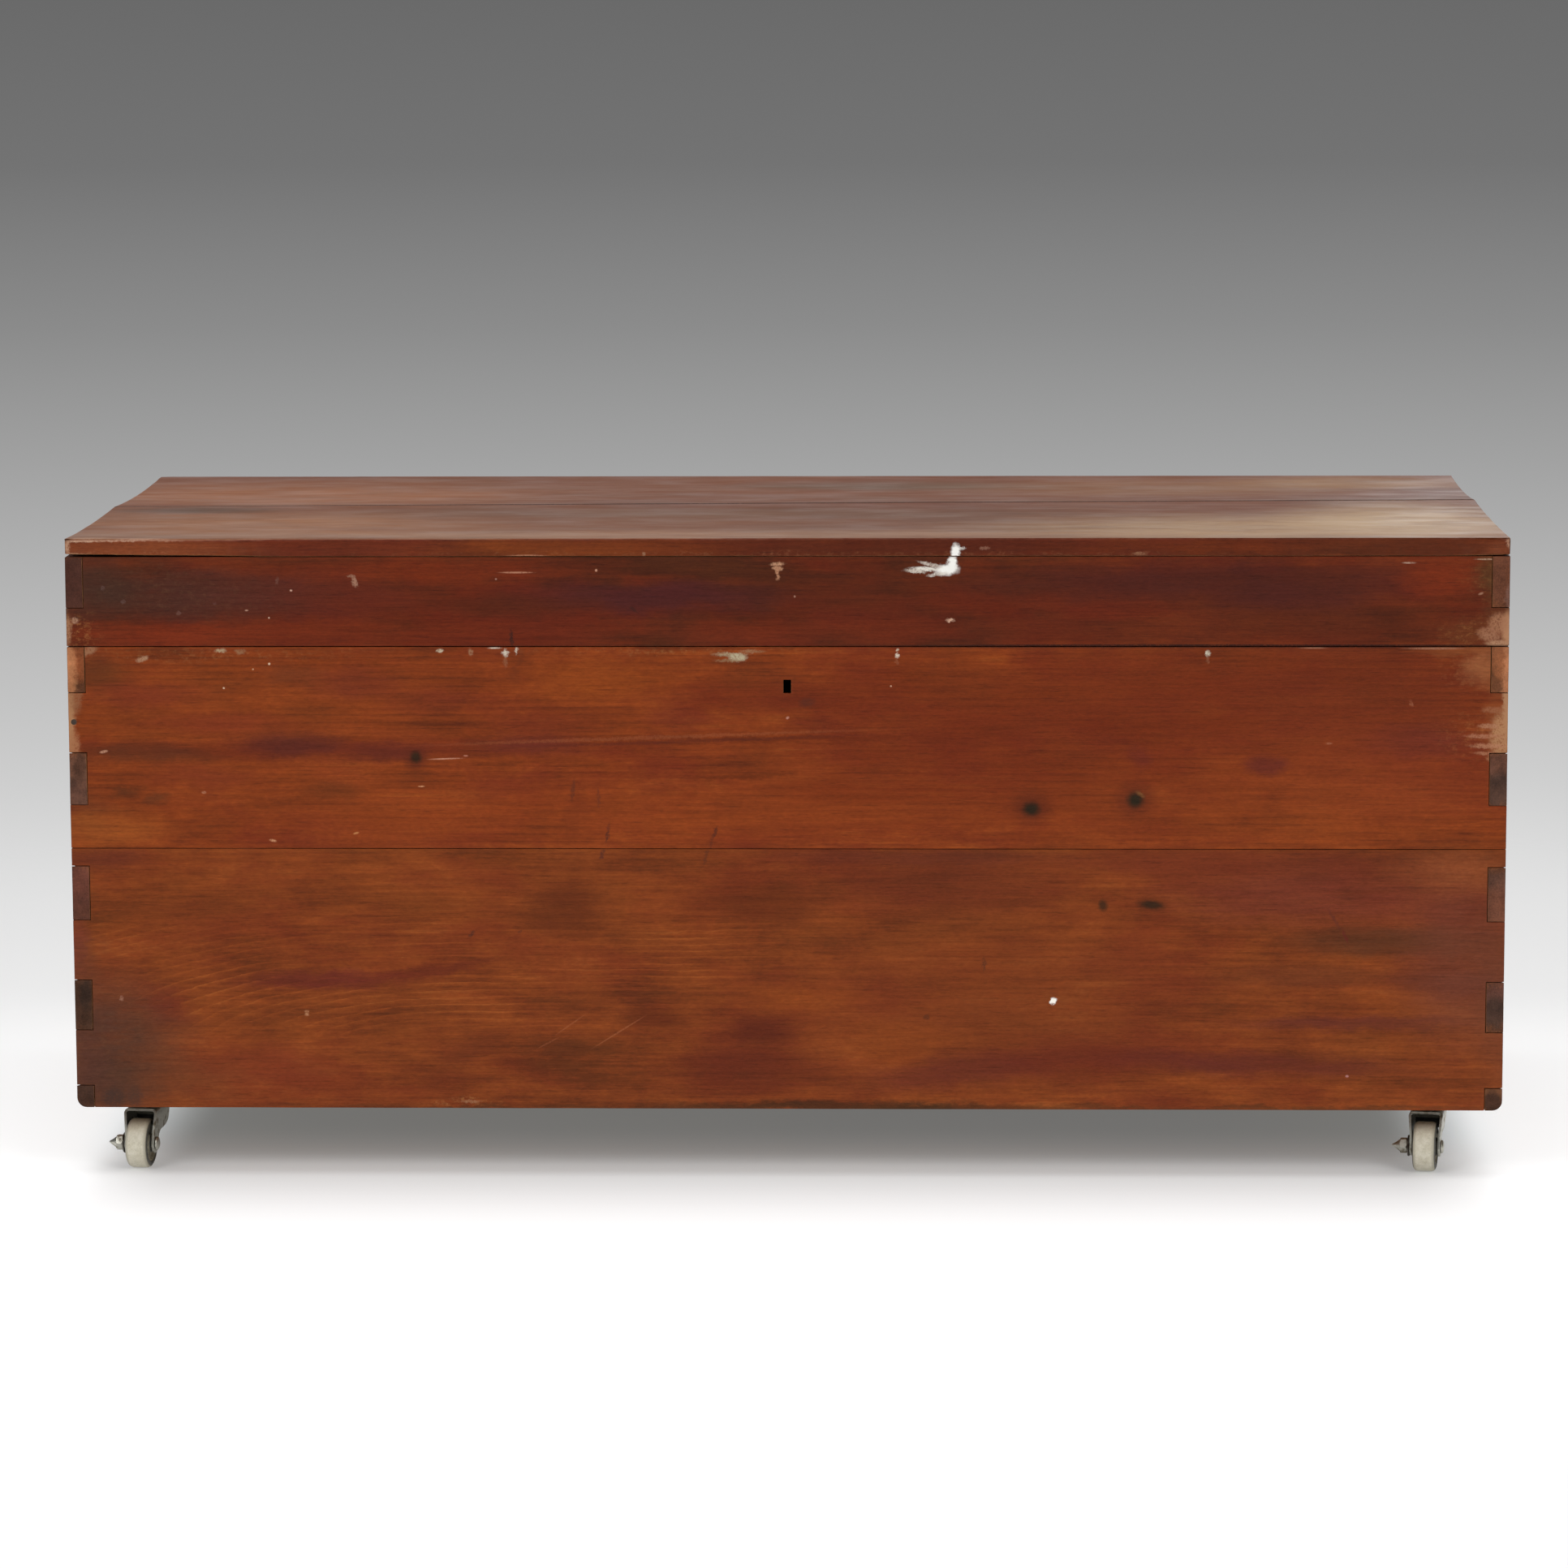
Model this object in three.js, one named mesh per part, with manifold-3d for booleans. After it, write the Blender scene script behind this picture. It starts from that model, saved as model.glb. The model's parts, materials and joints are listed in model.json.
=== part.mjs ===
// Blanket chest on four swivel casters: dovetailed box, hinged lid, chest lock.
// Millimetres, +Z up, front towards -Y, floor at z = 0.
import * as THREE from 'three';
import { mergeVertices } from 'three/addons/utils/BufferGeometryUtils.js';
import Module from 'manifold-3d';

const wasm = await Module();
wasm.setup();

// Chest
const chestWidth = 1150;
const chestDepth = 534.5;
const rimHeight = 375.6; // box walls, underside to rim
const wallThickness = 14;
const joinGap = 0.3; // between boards at every joint
const overrun = 4; // how far a cutter runs past the face it cuts
const wallSeamShare = 0.566; // joint of the front and back boards, of the rim height
const sideSeamShare = 0.6; // joint of the side boards, between two tails
const bottomThickness = 12;
const bottomBoardCount = 3;
const cornerWear = 8; // rounding of the sides' lower outer edges

// Through dovetails: tails on the sides, pins on the front and back
const dovetailSlope = 1 / 6;
const boxTailShares = [[0, 0.048], [0.17, 0.279], [0.41, 0.527], [0.66, 0.772], [0.902, 1]];
const lidTailShares = [[0.43, 1]];

// Lid
const lidGap = 0.6; // between the rim and the lid
const lidRailHeight = 71.6;
const lidTopThickness = 14.5;
const lidSeamLeft = -7.4; // the top boards' joint line, skewed from end to end
const lidSeamRight = 43.9;
const frontCup = 1.8;
const rearCup = 2.8;
const cupSteps = 8;

// Butt hinges at the back seam
const hingeInset = 205; // end of the chest to the middle of a hinge
const leafLength = 76;
const leafWidth = 12.5;
const leafThickness = 2;
const knuckleRadius = 3.2;
const knuckleStandoff = 0.3; // back face to the knuckles
const knuckleCount = 5;
const knuckleGap = 0.4;
const hingePinRadius = 1.5;
const hingePinHeadRadius = 2.5;
const hingePinHeadLength = 1.6;
const turningClearance = 0.12; // a pin in its bore

// Lock, let into the inside of the front
const keyholeCentre = 1.7; // to the right of the middle
const keyholeWidth = 6.1;
const keyholeHeight = 10.8;
const keyholeDrop = 31.9; // rim to the keyhole's middle
const lockPlateWidth = 80;
const lockPlateHeight = 54;
const lockPlateThickness = 1.6;
const lockFlangeThickness = 2;
const lockDepth = 10.4; // inside face of the front to the front of the case
const lockCaseWidth = 64;
const lockCaseHeight = 46; // rim to the bottom of the case
const lockCaseWall = 1.2;
const boltTravel = 7;
const boltThickness = 2.4;
const boltBarHeight = 7;
const boltBarDrop = 13; // rim to the top of the bolt's bar
const boltClearance = 0.6; // finger to staple, post to staple
const fingerHeight = 3;
const fingerDrop = 5.4; // rim to the top of a finger
const postWidth = 3;
const boltTail = 3; // bar past its last post, each way
const guidePegRadius = 1.4;
const guidePegClearance = 0.4;
const guidePegSpacing = 24;
const talonWidth = 6; // notch that the key throws
const talonDepth = 1.5;
const stapleThickness = 3;
const stapleSpacing = 24;
const stapleWall = 1.3;
const stapleEyeMargin = 0.7; // finger to the sides of the eye
const stapleEyeRise = 1; // finger to the top and bottom of the eye
const stapleFoot = 2; // metal below the eye
const stapleSlotClearance = 0.5;
const linkPlateWidth = 60;
const linkPlateThickness = 2.2;
const linkPlateSetback = 1; // inside face of the lid rail to the link plate

// Swivel casters
const wheelDiameter = 40;
const wheelWidth = 19.4;
const treadWidth = 13.4;
const shoulderDepth = 3; // how far the worn shoulders run in from the tread
const wheelRecess = 3.6;
const hubRadius = 7;
const rimRadius = 15; // inner edge of the rim's side face
const wheelFacets = 24;
const axleRadius = 3;
const axleClearance = 0.25;
const axleHeadRadius = 5.4;
const axleHeadLength = 2.7;
const washerRadius = 8.6;
const washerThickness = 1.5;
const nutFlats = 11.4; // across the flats
const nutLength = 6;
const nutConeLength = 6.7;
const nutTipRadius = 0.7;
const nutBoreDepth = 6.4;
const forkSheet = 2.1;
const forkSideClearance = 0.5; // wheel to fork leg
const forkSplay = 1.4; // each leg leans out by this towards the crown
const forkBend = 4; // outside radius where crown and legs meet
const crownClearance = 6.5; // top of the wheel to the underside of the crown
const swivelHeight = 7.8; // top of the crown to the box's underside: races, balls and plate
const forkFront = 21; // swivel axis to the crown's front edge
const forkRear = 19;
const forkLobe = 8; // round end of a leg about the axle
const forkWebDrop = 14.6; // top of the crown to the lower edge of the web behind the wheel
const forkWebInset = 1; // rear edge of the legs to the web
const waistRise = 0.5; // top of the lobe to the leg's lower edge behind the axle
const heelDrop = 12.2; // top of the crown to where the rear edge turns straight
const casterTrail = 20; // swivel axis to axle
const raceRadius = 15;
const raceThickness = 0.9;
const raceClearance = 0.3; // balls to either race
const ballCircle = 11.8;
const ballCount = 8;
const cageWidth = 4.6;
const cageThickness = 1.1;
const lipThickness = 1.1;
const lipDrop = 2.2; // dust lip below the upper race
const lipClearance = 0.5;
const kingpinRadius = 4;
const kingpinHeadRadius = 6;
const kingpinHeadLength = 1.8;
const kingpinTopRadius = 5.6;
const kingpinTopLength = 0.8;
const kingpinClearance = 0.35;
const plateWidth = 44;
const plateLength = 60;
const plateThickness = 2;
const plateCorner = 6;
const plateHoleRadius = 2.4;
const plateHoleMargin = 7; // hole centre to the plate's edges
const casterSetback = 53.5; // front or back face to the swivel axis
const casterPlaces = [
  { name: 'front_left', side: -1, end: -1, inset: 48.8, heading: 7 },
  { name: 'front_right', side: 1, end: -1, inset: 54.7, heading: 10 },
  { name: 'rear_left', side: -1, end: 1, inset: 50, heading: 158 },
  { name: 'rear_right', side: 1, end: 1, inset: 50, heading: 218 },
];

// Facets of round pieces
const pinFacets = 12;
const boltFacets = 12;
const discFacets = 24;
const cornerFacets = 3;
const ballFacets = 6;
const ballRings = 3;
const hexFacets = 6;

// Worked out from the sizes above
const halfWidth = chestWidth / 2;
const halfDepth = chestDepth / 2;
const innerHalfWidth = halfWidth - wallThickness;
const innerHalfDepth = halfDepth - wallThickness;
const hingeLine = halfDepth + knuckleStandoff + knuckleRadius;
const hingeOverhang = knuckleStandoff + knuckleRadius * (1 + Math.cos(Math.PI / pinFacets));
const wheelRadius = wheelDiameter / 2;
const forkCrownHeight = wheelDiameter + crownClearance + forkSheet; // all from the floor
const casterHeight = forkCrownHeight + swivelHeight;
const forkWaist = wheelRadius + forkLobe + waistRise;
const forkHeel = forkCrownHeight - heelDrop;

const finishes = {
  frontWood: { color: 0x803e20, roughness: 0.5, metalness: 0 },
  sideWood: { color: 0x74402a, roughness: 0.6, metalness: 0 },
  lidWood: { color: 0x6b3228, roughness: 0.5, metalness: 0 },
  topWood: { color: 0x96766a, roughness: 0.45, metalness: 0 },
  bareWood: { color: 0xa5714a, roughness: 0.8, metalness: 0 },
  steel: { color: 0x8c8c86, roughness: 0.45, metalness: 0.9 },
  darkSteel: { color: 0x55524b, roughness: 0.6, metalness: 0.8 },
  brass: { color: 0x9a7a3c, roughness: 0.4, metalness: 0.9 },
  wheel: { color: 0xc8c0ac, roughness: 0.55, metalness: 0 },
};

const chest = new THREE.Group();
chest.position.y = -hingeOverhang / 2; // the hinge knuckles stand out behind the box

// Solids

const weldTolerance = 1e-4;

function signedVolume(position, triangles) {
  let volume = 0;
  const [a, b, c] = [new THREE.Vector3(), new THREE.Vector3(), new THREE.Vector3()];
  for (let i = 0; i < triangles.length; i += 3) {
    a.fromBufferAttribute(position, triangles[i]);
    b.fromBufferAttribute(position, triangles[i + 1]);
    c.fromBufferAttribute(position, triangles[i + 2]);
    volume += a.dot(b.cross(c));
  }
  return volume;
}

// Merges shared vertices, drops empty triangles and turns the faces outwards
function weld(geometry) {
  geometry.deleteAttribute('normal');
  geometry.deleteAttribute('uv');
  const merged = mergeVertices(geometry, weldTolerance);
  const all = merged.index.array;
  const kept = [];
  for (let i = 0; i < all.length; i += 3) {
    const [a, b, c] = [all[i], all[i + 1], all[i + 2]];
    if (a !== b && b !== c && c !== a) kept.push(a, b, c);
  }
  if (signedVolume(merged.getAttribute('position'), kept) < 0) kept.reverse();
  merged.setIndex(kept);
  return merged;
}

function toSolid(geometry) {
  const welded = weld(geometry);
  const vertProperties = new Float32Array(welded.getAttribute('position').array);
  const triVerts = new Uint32Array(welded.index.array);
  return new wasm.Manifold(new wasm.Mesh({ numProp: 3, vertProperties, triVerts }));
}

function toGeometry(solid) {
  const mesh = solid.getMesh();
  const geometry = new THREE.BufferGeometry();
  geometry.setAttribute('position', new THREE.BufferAttribute(mesh.vertProperties, 3));
  geometry.setIndex(new THREE.BufferAttribute(mesh.triVerts, 1));
  return geometry;
}

function block(x0, x1, y0, y1, z0, z1) {
  const box = new THREE.BoxGeometry(x1 - x0, y1 - y0, z1 - z0);
  return toSolid(box.translate((x0 + x1) / 2, (y0 + y1) / 2, (z0 + z1) / 2));
}

function extrude(shape, length) {
  return new THREE.ExtrudeGeometry(shape, { depth: length, bevelEnabled: false, curveSegments: cornerFacets });
}

function outline(points) {
  return new THREE.Shape(points.map(([u, v]) => new THREE.Vector2(u, v)));
}

// A shape drawn in Y and Z, extruded along X
function prismX(shape, x0, x1) {
  const turn = new THREE.Matrix4().makeBasis(
    new THREE.Vector3(0, 1, 0), new THREE.Vector3(0, 0, 1), new THREE.Vector3(1, 0, 0));
  return toSolid(extrude(shape, x1 - x0).applyMatrix4(turn).translate(x0, 0, 0));
}

// A shape drawn in X and Z, extruded along Y
function prismY(shape, y0, y1) {
  return toSolid(extrude(shape, y1 - y0).rotateX(Math.PI / 2).translate(0, y1, 0));
}

// A shape drawn in X and Y, extruded along Z
function prismZ(shape, z0, z1) {
  return toSolid(extrude(shape, z1 - z0).translate(0, 0, z0));
}

// A profile of [radius, place along the axis] turned about Z
function turnedZ(profile, facets) {
  const points = profile.map(([radius, along]) => new THREE.Vector2(radius, along));
  return toSolid(new THREE.LatheGeometry(points, facets).rotateX(Math.PI / 2));
}

// The same turned about X, with a flat facet facing down
function turnedX(profile, facets) {
  const points = profile.map(([radius, along]) => new THREE.Vector2(radius, along));
  const turned = new THREE.LatheGeometry(points, facets).rotateY(Math.PI / facets);
  return toSolid(turned.rotateZ(-Math.PI / 2));
}

function cylinderX(radius, x0, x1, facets) {
  return turnedX([[0, x0], [radius, x0], [radius, x1], [0, x1]], facets);
}

function cylinderZ(radius, z0, z1, facets) {
  return turnedZ([[0, z0], [radius, z0], [radius, z1], [0, z1]], facets);
}

// The radius at a faceted circle's corners that leaves the given radius at its flats
function overFlats(radius, facets) {
  return radius / Math.cos(Math.PI / facets);
}

function place(parent, name, solid, finish) {
  const mesh = new THREE.Mesh(toGeometry(solid), new THREE.MeshStandardMaterial(finish));
  mesh.name = name;
  parent.add(mesh);
  return mesh;
}

// Dovetails

// Tails between two heights of a wall; a tail that meets the wall's edge is flat there
function tailsBetween(shares, wallHeight, low, high) {
  const tails = shares.map(([from, to]) => ({
    low: from * wallHeight,
    high: to * wallHeight,
    flatLow: from === 0,
    flatHigh: to === 1,
  }));
  return tails.filter((tail) => (tail.low + tail.high) / 2 > low && (tail.low + tail.high) / 2 < high);
}

// Height of a tail's edges at a distance in from its tip
function tailEdges(tail, inwards) {
  const narrowing = inwards * dovetailSlope;
  return [tail.low + (tail.flatLow ? 0 : narrowing), tail.high - (tail.flatHigh ? 0 : narrowing)];
}

// The outline of a side board, drawn in Y and Z, with its tails at both ends
function tailBoardOutline(tails, low, high) {
  const shoulder = innerHalfDepth - joinGap;
  const tailLength = halfDepth - shoulder;
  const rising = [];
  for (const tail of tails) {
    const [rootLow, rootHigh] = tailEdges(tail, tailLength);
    if (!tail.flatLow) rising.push([shoulder, rootLow]);
    rising.push([halfDepth, tail.low], [halfDepth, tail.high]);
    if (!tail.flatHigh) rising.push([shoulder, rootHigh]);
  }
  if (!tails.length || !tails[0].flatLow) rising.unshift([shoulder, low]);
  if (!tails.length || !tails[tails.length - 1].flatHigh) rising.push([shoulder, high]);
  const falling = rising.map(([y, z]) => [-y, z]).reverse();
  return outline([...rising, ...falling]);
}

// The cutter for a tail's socket, through a front or back board at one end of it
function socket(tail, end, side) {
  const outer = halfDepth + overrun;
  const inner = innerHalfDepth - overrun;
  const [outerLow, outerHigh] = tailEdges(tail, -overrun);
  const [innerLow, innerHigh] = tailEdges(tail, wallThickness + overrun);
  const growLow = tail.flatLow ? overrun : joinGap;
  const growHigh = tail.flatHigh ? overrun : joinGap;
  const shape = outline([
    [end * outer, outerLow - growLow],
    [end * inner, innerLow - growLow],
    [end * inner, innerHigh + growHigh],
    [end * outer, outerHigh + growHigh],
  ]);
  const reach = innerHalfWidth - joinGap;
  if (side < 0) return prismX(shape, -halfWidth - overrun, -reach);
  return prismX(shape, reach, halfWidth + overrun);
}

function pinBoard(end, low, high, tails) {
  const [y0, y1] = end < 0 ? [-halfDepth, -innerHalfDepth] : [innerHalfDepth, halfDepth];
  let board = block(-halfWidth, halfWidth, y0, y1, low, high);
  for (const tail of tails) {
    board = board.subtract(socket(tail, end, -1)).subtract(socket(tail, end, 1));
  }
  return board;
}

function tailBoard(side, low, high, tails) {
  const [x0, x1] = side < 0 ? [-halfWidth, -innerHalfWidth] : [innerHalfWidth, halfWidth];
  return prismX(tailBoardOutline(tails, low, high), x0, x1);
}

// The cutter that rounds a side's lower outer edge, full length
function lowerEdgeRounding(side) {
  const shape = new THREE.Shape();
  const edge = side * halfWidth;
  const past = side * (halfWidth + overrun);
  shape.moveTo(past, -overrun);
  shape.lineTo(past, cornerWear);
  shape.lineTo(edge, cornerWear);
  const [fromAngle, toAngle] = side < 0 ? [Math.PI, 1.5 * Math.PI] : [0, -0.5 * Math.PI];
  shape.absarc(edge - side * cornerWear, cornerWear, cornerWear, fromAngle, toAngle, side > 0);
  shape.lineTo(edge - side * cornerWear, -overrun);
  return prismY(shape, -halfDepth - overrun, halfDepth + overrun);
}

// Hinges

const hingePlaces = [
  { name: 'left', x: -(halfWidth - hingeInset) },
  { name: 'right', x: halfWidth - hingeInset },
];
const hingeAxisHeight = rimHeight + lidGap / 2; // above the box's underside

// The cutter for a leaf's seat in the edge of a back board, about that edge at z = 0
function leafSeat(x, up) {
  const reach = leafLength / 2 + joinGap;
  const depth = leafThickness + joinGap;
  const [z0, z1] = up > 0 ? [-overrun, depth] : [-depth, overrun];
  return block(x - reach, x + reach, halfDepth - leafWidth - joinGap, halfDepth + overrun, z0, z1);
}

// A leaf about its hinge line: its plate lies below (up = -1) or above (up = 1) the line
function hingeLeaf(up) {
  const near = lidGap / 2;
  const far = near + leafThickness;
  const [z0, z1] = up > 0 ? [near, far] : [-far, -near];
  const plateEdge = -knuckleRadius - knuckleStandoff;
  let leaf = block(-leafLength / 2, leafLength / 2, plateEdge - leafWidth, plateEdge, z0, z1);
  const pitch = leafLength / knuckleCount;
  const barrelHalf = (pitch - knuckleGap) / 2;
  const boreRadius = overFlats(hingePinRadius + turningClearance, pinFacets);
  for (let i = 0; i < knuckleCount; i += 1) {
    if ((i % 2 === 0) !== (up < 0)) continue;
    const x = (i + 0.5) * pitch - leafLength / 2;
    const tongue = block(x - barrelHalf, x + barrelHalf, plateEdge - joinGap, 0, z0, z1);
    const barrel = cylinderX(knuckleRadius, x - barrelHalf, x + barrelHalf, pinFacets);
    leaf = leaf.add(tongue).add(barrel);
  }
  return leaf.subtract(cylinderX(boreRadius, -leafLength, leafLength, pinFacets));
}

function hingePin() {
  const end = (leafLength + knuckleGap) / 2;
  const tip = end + hingePinHeadLength;
  return turnedX([
    [0, -tip],
    [hingePinHeadRadius / 2, -tip],
    [hingePinHeadRadius, -end],
    [hingePinRadius, -end],
    [hingePinRadius, end],
    [hingePinHeadRadius, end],
    [hingePinHeadRadius / 2, tip],
    [0, tip],
  ], pinFacets);
}

// Lock, drawn about the keyhole's middle in X, the inside face in Y and the rim in Z

const lockCavityMiddle = -(lockPlateThickness + joinGap + lockDepth - lockCaseWall) / 2;
const stapleWidth = boltThickness + 2 * (stapleEyeMargin + stapleWall);
const stapleEyeTop = -fingerDrop + stapleEyeRise;
const stapleEyeBottom = -fingerDrop - fingerHeight - stapleEyeRise;
const staplePlaces = [-stapleSpacing / 2, stapleSpacing / 2];

function lockPlate() {
  const halfPlate = lockPlateWidth / 2;
  const plate = block(-halfPlate, halfPlate, -lockPlateThickness, 0, -lockPlateHeight, 0);
  let lock = plate.add(block(-halfPlate, halfPlate, -lockDepth, 0, -lockFlangeThickness, 0));
  for (const x of staplePlaces) {
    const halfSlotX = stapleThickness / 2 + stapleSlotClearance;
    const halfSlotY = stapleWidth / 2 + stapleSlotClearance;
    const [y0, y1] = [lockCavityMiddle - halfSlotY, lockCavityMiddle + halfSlotY];
    lock = lock.subtract(block(x - halfSlotX, x + halfSlotX, y0, y1, -lockFlangeThickness - overrun, overrun));
  }
  const pegTip = lockCavityMiddle - boltThickness;
  const pegHeight = -boltBarDrop - boltBarHeight / 2;
  for (const side of [-1, 1]) {
    const peg = cylinderZ(guidePegRadius, 0, -pegTip - lockPlateThickness / 2, boltFacets);
    const x = side * guidePegSpacing / 2;
    lock = lock.add(peg.rotate([90, 0, 0]).translate([x, -lockPlateThickness / 2, pegHeight]));
  }
  return lock;
}

// An open tray: the lock plate closes its back and the flange its top
function lockCase() {
  const half = lockCaseWidth / 2;
  const back = -lockPlateThickness - joinGap;
  const top = -lockFlangeThickness - joinGap;
  const outside = block(-half, half, -lockDepth, back, -lockCaseHeight, top);
  const inside = block(
    -half + lockCaseWall, half - lockCaseWall,
    -lockDepth + lockCaseWall, back + overrun,
    -lockCaseHeight + lockCaseWall, top + overrun);
  return outside.subtract(inside).subtract(keyholeCut(joinGap));
}

function keyholeCut(margin) {
  const half = keyholeWidth / 2 + margin;
  const [z0, z1] = [-keyholeDrop - keyholeHeight / 2 - margin, -keyholeDrop + keyholeHeight / 2 + margin];
  return block(-half, half, -wallThickness - overrun, -lockPlateThickness - joinGap, z0, z1);
}

// The bolt, drawn back: a bar on two guide slots, with a post and a finger for each staple
function lockBolt() {
  const fingerLength = boltTravel + boltClearance;
  const [y0, y1] = [lockCavityMiddle - boltThickness / 2, lockCavityMiddle + boltThickness / 2];
  const barTop = -boltBarDrop;
  const barBottom = barTop - boltBarHeight;
  const tips = staplePlaces.map((x) => x - stapleThickness / 2 - boltClearance);
  const barStart = tips[0] - fingerLength - postWidth - boltTail;
  const barEnd = guidePegSpacing / 2 + guidePegRadius + boltTail;
  let bolt = block(barStart, barEnd, y0, y1, barBottom, barTop);
  for (const tip of tips) {
    const postFace = tip - fingerLength;
    bolt = bolt.add(block(postFace - postWidth, postFace, y0, y1, barTop - joinGap, -fingerDrop));
    bolt = bolt.add(block(postFace - joinGap, tip, y0, y1, -fingerDrop - fingerHeight, -fingerDrop));
  }
  const slotHalf = guidePegRadius + guidePegClearance;
  const slotMiddle = (barTop + barBottom) / 2;
  for (const side of [-1, 1]) {
    const x = side * guidePegSpacing / 2;
    const slot = block(x - boltTravel - slotHalf, x + slotHalf, y0 - overrun, y1 + overrun,
      slotMiddle - slotHalf, slotMiddle + slotHalf);
    bolt = bolt.subtract(slot);
  }
  const talonHalf = talonWidth / 2;
  return bolt.subtract(
    block(-talonHalf, talonHalf, y0 - overrun, y1 + overrun, barBottom - overrun, barBottom + talonDepth));
}

// Link plate under the lid's front rail, about the rail's lower edge in Z
function lockLinkPlate() {
  const half = linkPlateWidth / 2;
  let link = block(-half, half, -lockDepth, -linkPlateSetback, 0, linkPlateThickness);
  for (const x of staplePlaces) {
    const [x0, x1] = [x - stapleThickness / 2, x + stapleThickness / 2];
    const [y0, y1] = [lockCavityMiddle - stapleWidth / 2, lockCavityMiddle + stapleWidth / 2];
    const staple = block(x0, x1, y0, y1, stapleEyeBottom - stapleFoot - lidGap, linkPlateThickness / 2);
    const eye = block(x0 - overrun, x1 + overrun, y0 + stapleWall, y1 - stapleWall,
      stapleEyeBottom - lidGap, stapleEyeTop - lidGap);
    link = link.add(staple).subtract(eye);
  }
  return link;
}

// The cutter for the lock in the front's upper board
function lockSeat() {
  const halfPlate = lockPlateWidth / 2 + joinGap;
  const halfCase = lockCaseWidth / 2 + joinGap;
  const front = -lockDepth - joinGap;
  const plate = block(-halfPlate, halfPlate, -lockPlateThickness - joinGap, overrun,
    -lockPlateHeight - joinGap, overrun);
  const caseSeat = block(-halfCase, halfCase, front, overrun, -lockCaseHeight - joinGap, overrun);
  const flange = block(-halfPlate, halfPlate, front, overrun, -lockFlangeThickness - joinGap, overrun);
  return plate.add(caseSeat).add(flange);
}

function linkSeat() {
  const half = linkPlateWidth / 2 + joinGap;
  return block(-half, half, -lockDepth - joinGap, -linkPlateSetback + joinGap,
    -overrun, linkPlateThickness + joinGap);
}

// Box walls and bottom

const box = new THREE.Group();
box.position.z = casterHeight;
chest.add(box);

const wallSeam = wallSeamShare * rimHeight;
const sideSeam = sideSeamShare * rimHeight;
const lockAtRim = [keyholeCentre, -innerHalfDepth, rimHeight];

function wallBoards(seam) {
  return [
    { name: 'lower', low: 0, high: seam - joinGap / 2 },
    { name: 'upper', low: seam + joinGap / 2, high: rimHeight },
  ].map((board) => ({ ...board, tails: tailsBetween(boxTailShares, rimHeight, board.low, board.high) }));
}

for (const { name, low, high, tails } of wallBoards(wallSeam)) {
  let front = pinBoard(-1, low, high, tails);
  let back = pinBoard(1, low, high, tails);
  if (name === 'upper') {
    front = front.subtract(lockSeat().translate(lockAtRim));
    front = front.subtract(keyholeCut(0).translate(lockAtRim));
    for (const hinge of hingePlaces) {
      back = back.subtract(leafSeat(hinge.x, -1).translate([0, 0, rimHeight]));
    }
  }
  place(box, `front_${name}_board`, front, finishes.frontWood);
  place(box, `back_${name}_board`, back, finishes.sideWood);
}

for (const { name, low, high, tails } of wallBoards(sideSeam)) {
  let left = tailBoard(-1, low, high, tails);
  let right = tailBoard(1, low, high, tails);
  if (name === 'lower') {
    left = left.subtract(lowerEdgeRounding(-1));
    right = right.subtract(lowerEdgeRounding(1));
  }
  place(box, `left_${name}_board`, left, finishes.sideWood);
  place(box, `right_${name}_board`, right, finishes.sideWood);
}

const bottomReach = innerHalfWidth - joinGap;
const bottomPitch = (2 * innerHalfDepth - joinGap) / bottomBoardCount;
const bottomNames = ['front', 'middle', 'rear'];
for (let i = 0; i < bottomBoardCount; i += 1) {
  const y0 = -innerHalfDepth + joinGap + i * bottomPitch;
  const board = block(-bottomReach, bottomReach, y0, y0 + bottomPitch - joinGap, 0, bottomThickness);
  place(box, `bottom_${bottomNames[i]}_board`, board, finishes.bareWood);
}

// Lid

const lid = new THREE.Group();
lid.position.z = casterHeight + rimHeight + lidGap;
chest.add(lid);

const lidTails = tailsBetween(lidTailShares, lidRailHeight, 0, lidRailHeight);
const lidFrontRail = pinBoard(-1, 0, lidRailHeight, lidTails)
  .subtract(linkSeat().translate([keyholeCentre, -innerHalfDepth, 0]));
let lidBackRail = pinBoard(1, 0, lidRailHeight, lidTails);
for (const hinge of hingePlaces) lidBackRail = lidBackRail.subtract(leafSeat(hinge.x, 1));
place(lid, 'lid_front_rail', lidFrontRail, finishes.lidWood);
place(lid, 'lid_back_rail', lidBackRail, finishes.lidWood);
place(lid, 'lid_left_rail', tailBoard(-1, 0, lidRailHeight, lidTails), finishes.lidWood);
place(lid, 'lid_right_rail', tailBoard(1, 0, lidRailHeight, lidTails), finishes.lidWood);

// The end section of a top board, drawn in Y and Z: flat below, cupped above
function cuppedSection(y0, y1, cup) {
  const low = lidRailHeight + joinGap;
  const points = [[y0, low], [y1, low]];
  for (let i = 0; i <= cupSteps; i += 1) {
    const share = i / cupSteps;
    points.push([y1 + (y0 - y1) * share, low + lidTopThickness - 4 * cup * share * (1 - share)]);
  }
  return points;
}

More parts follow.
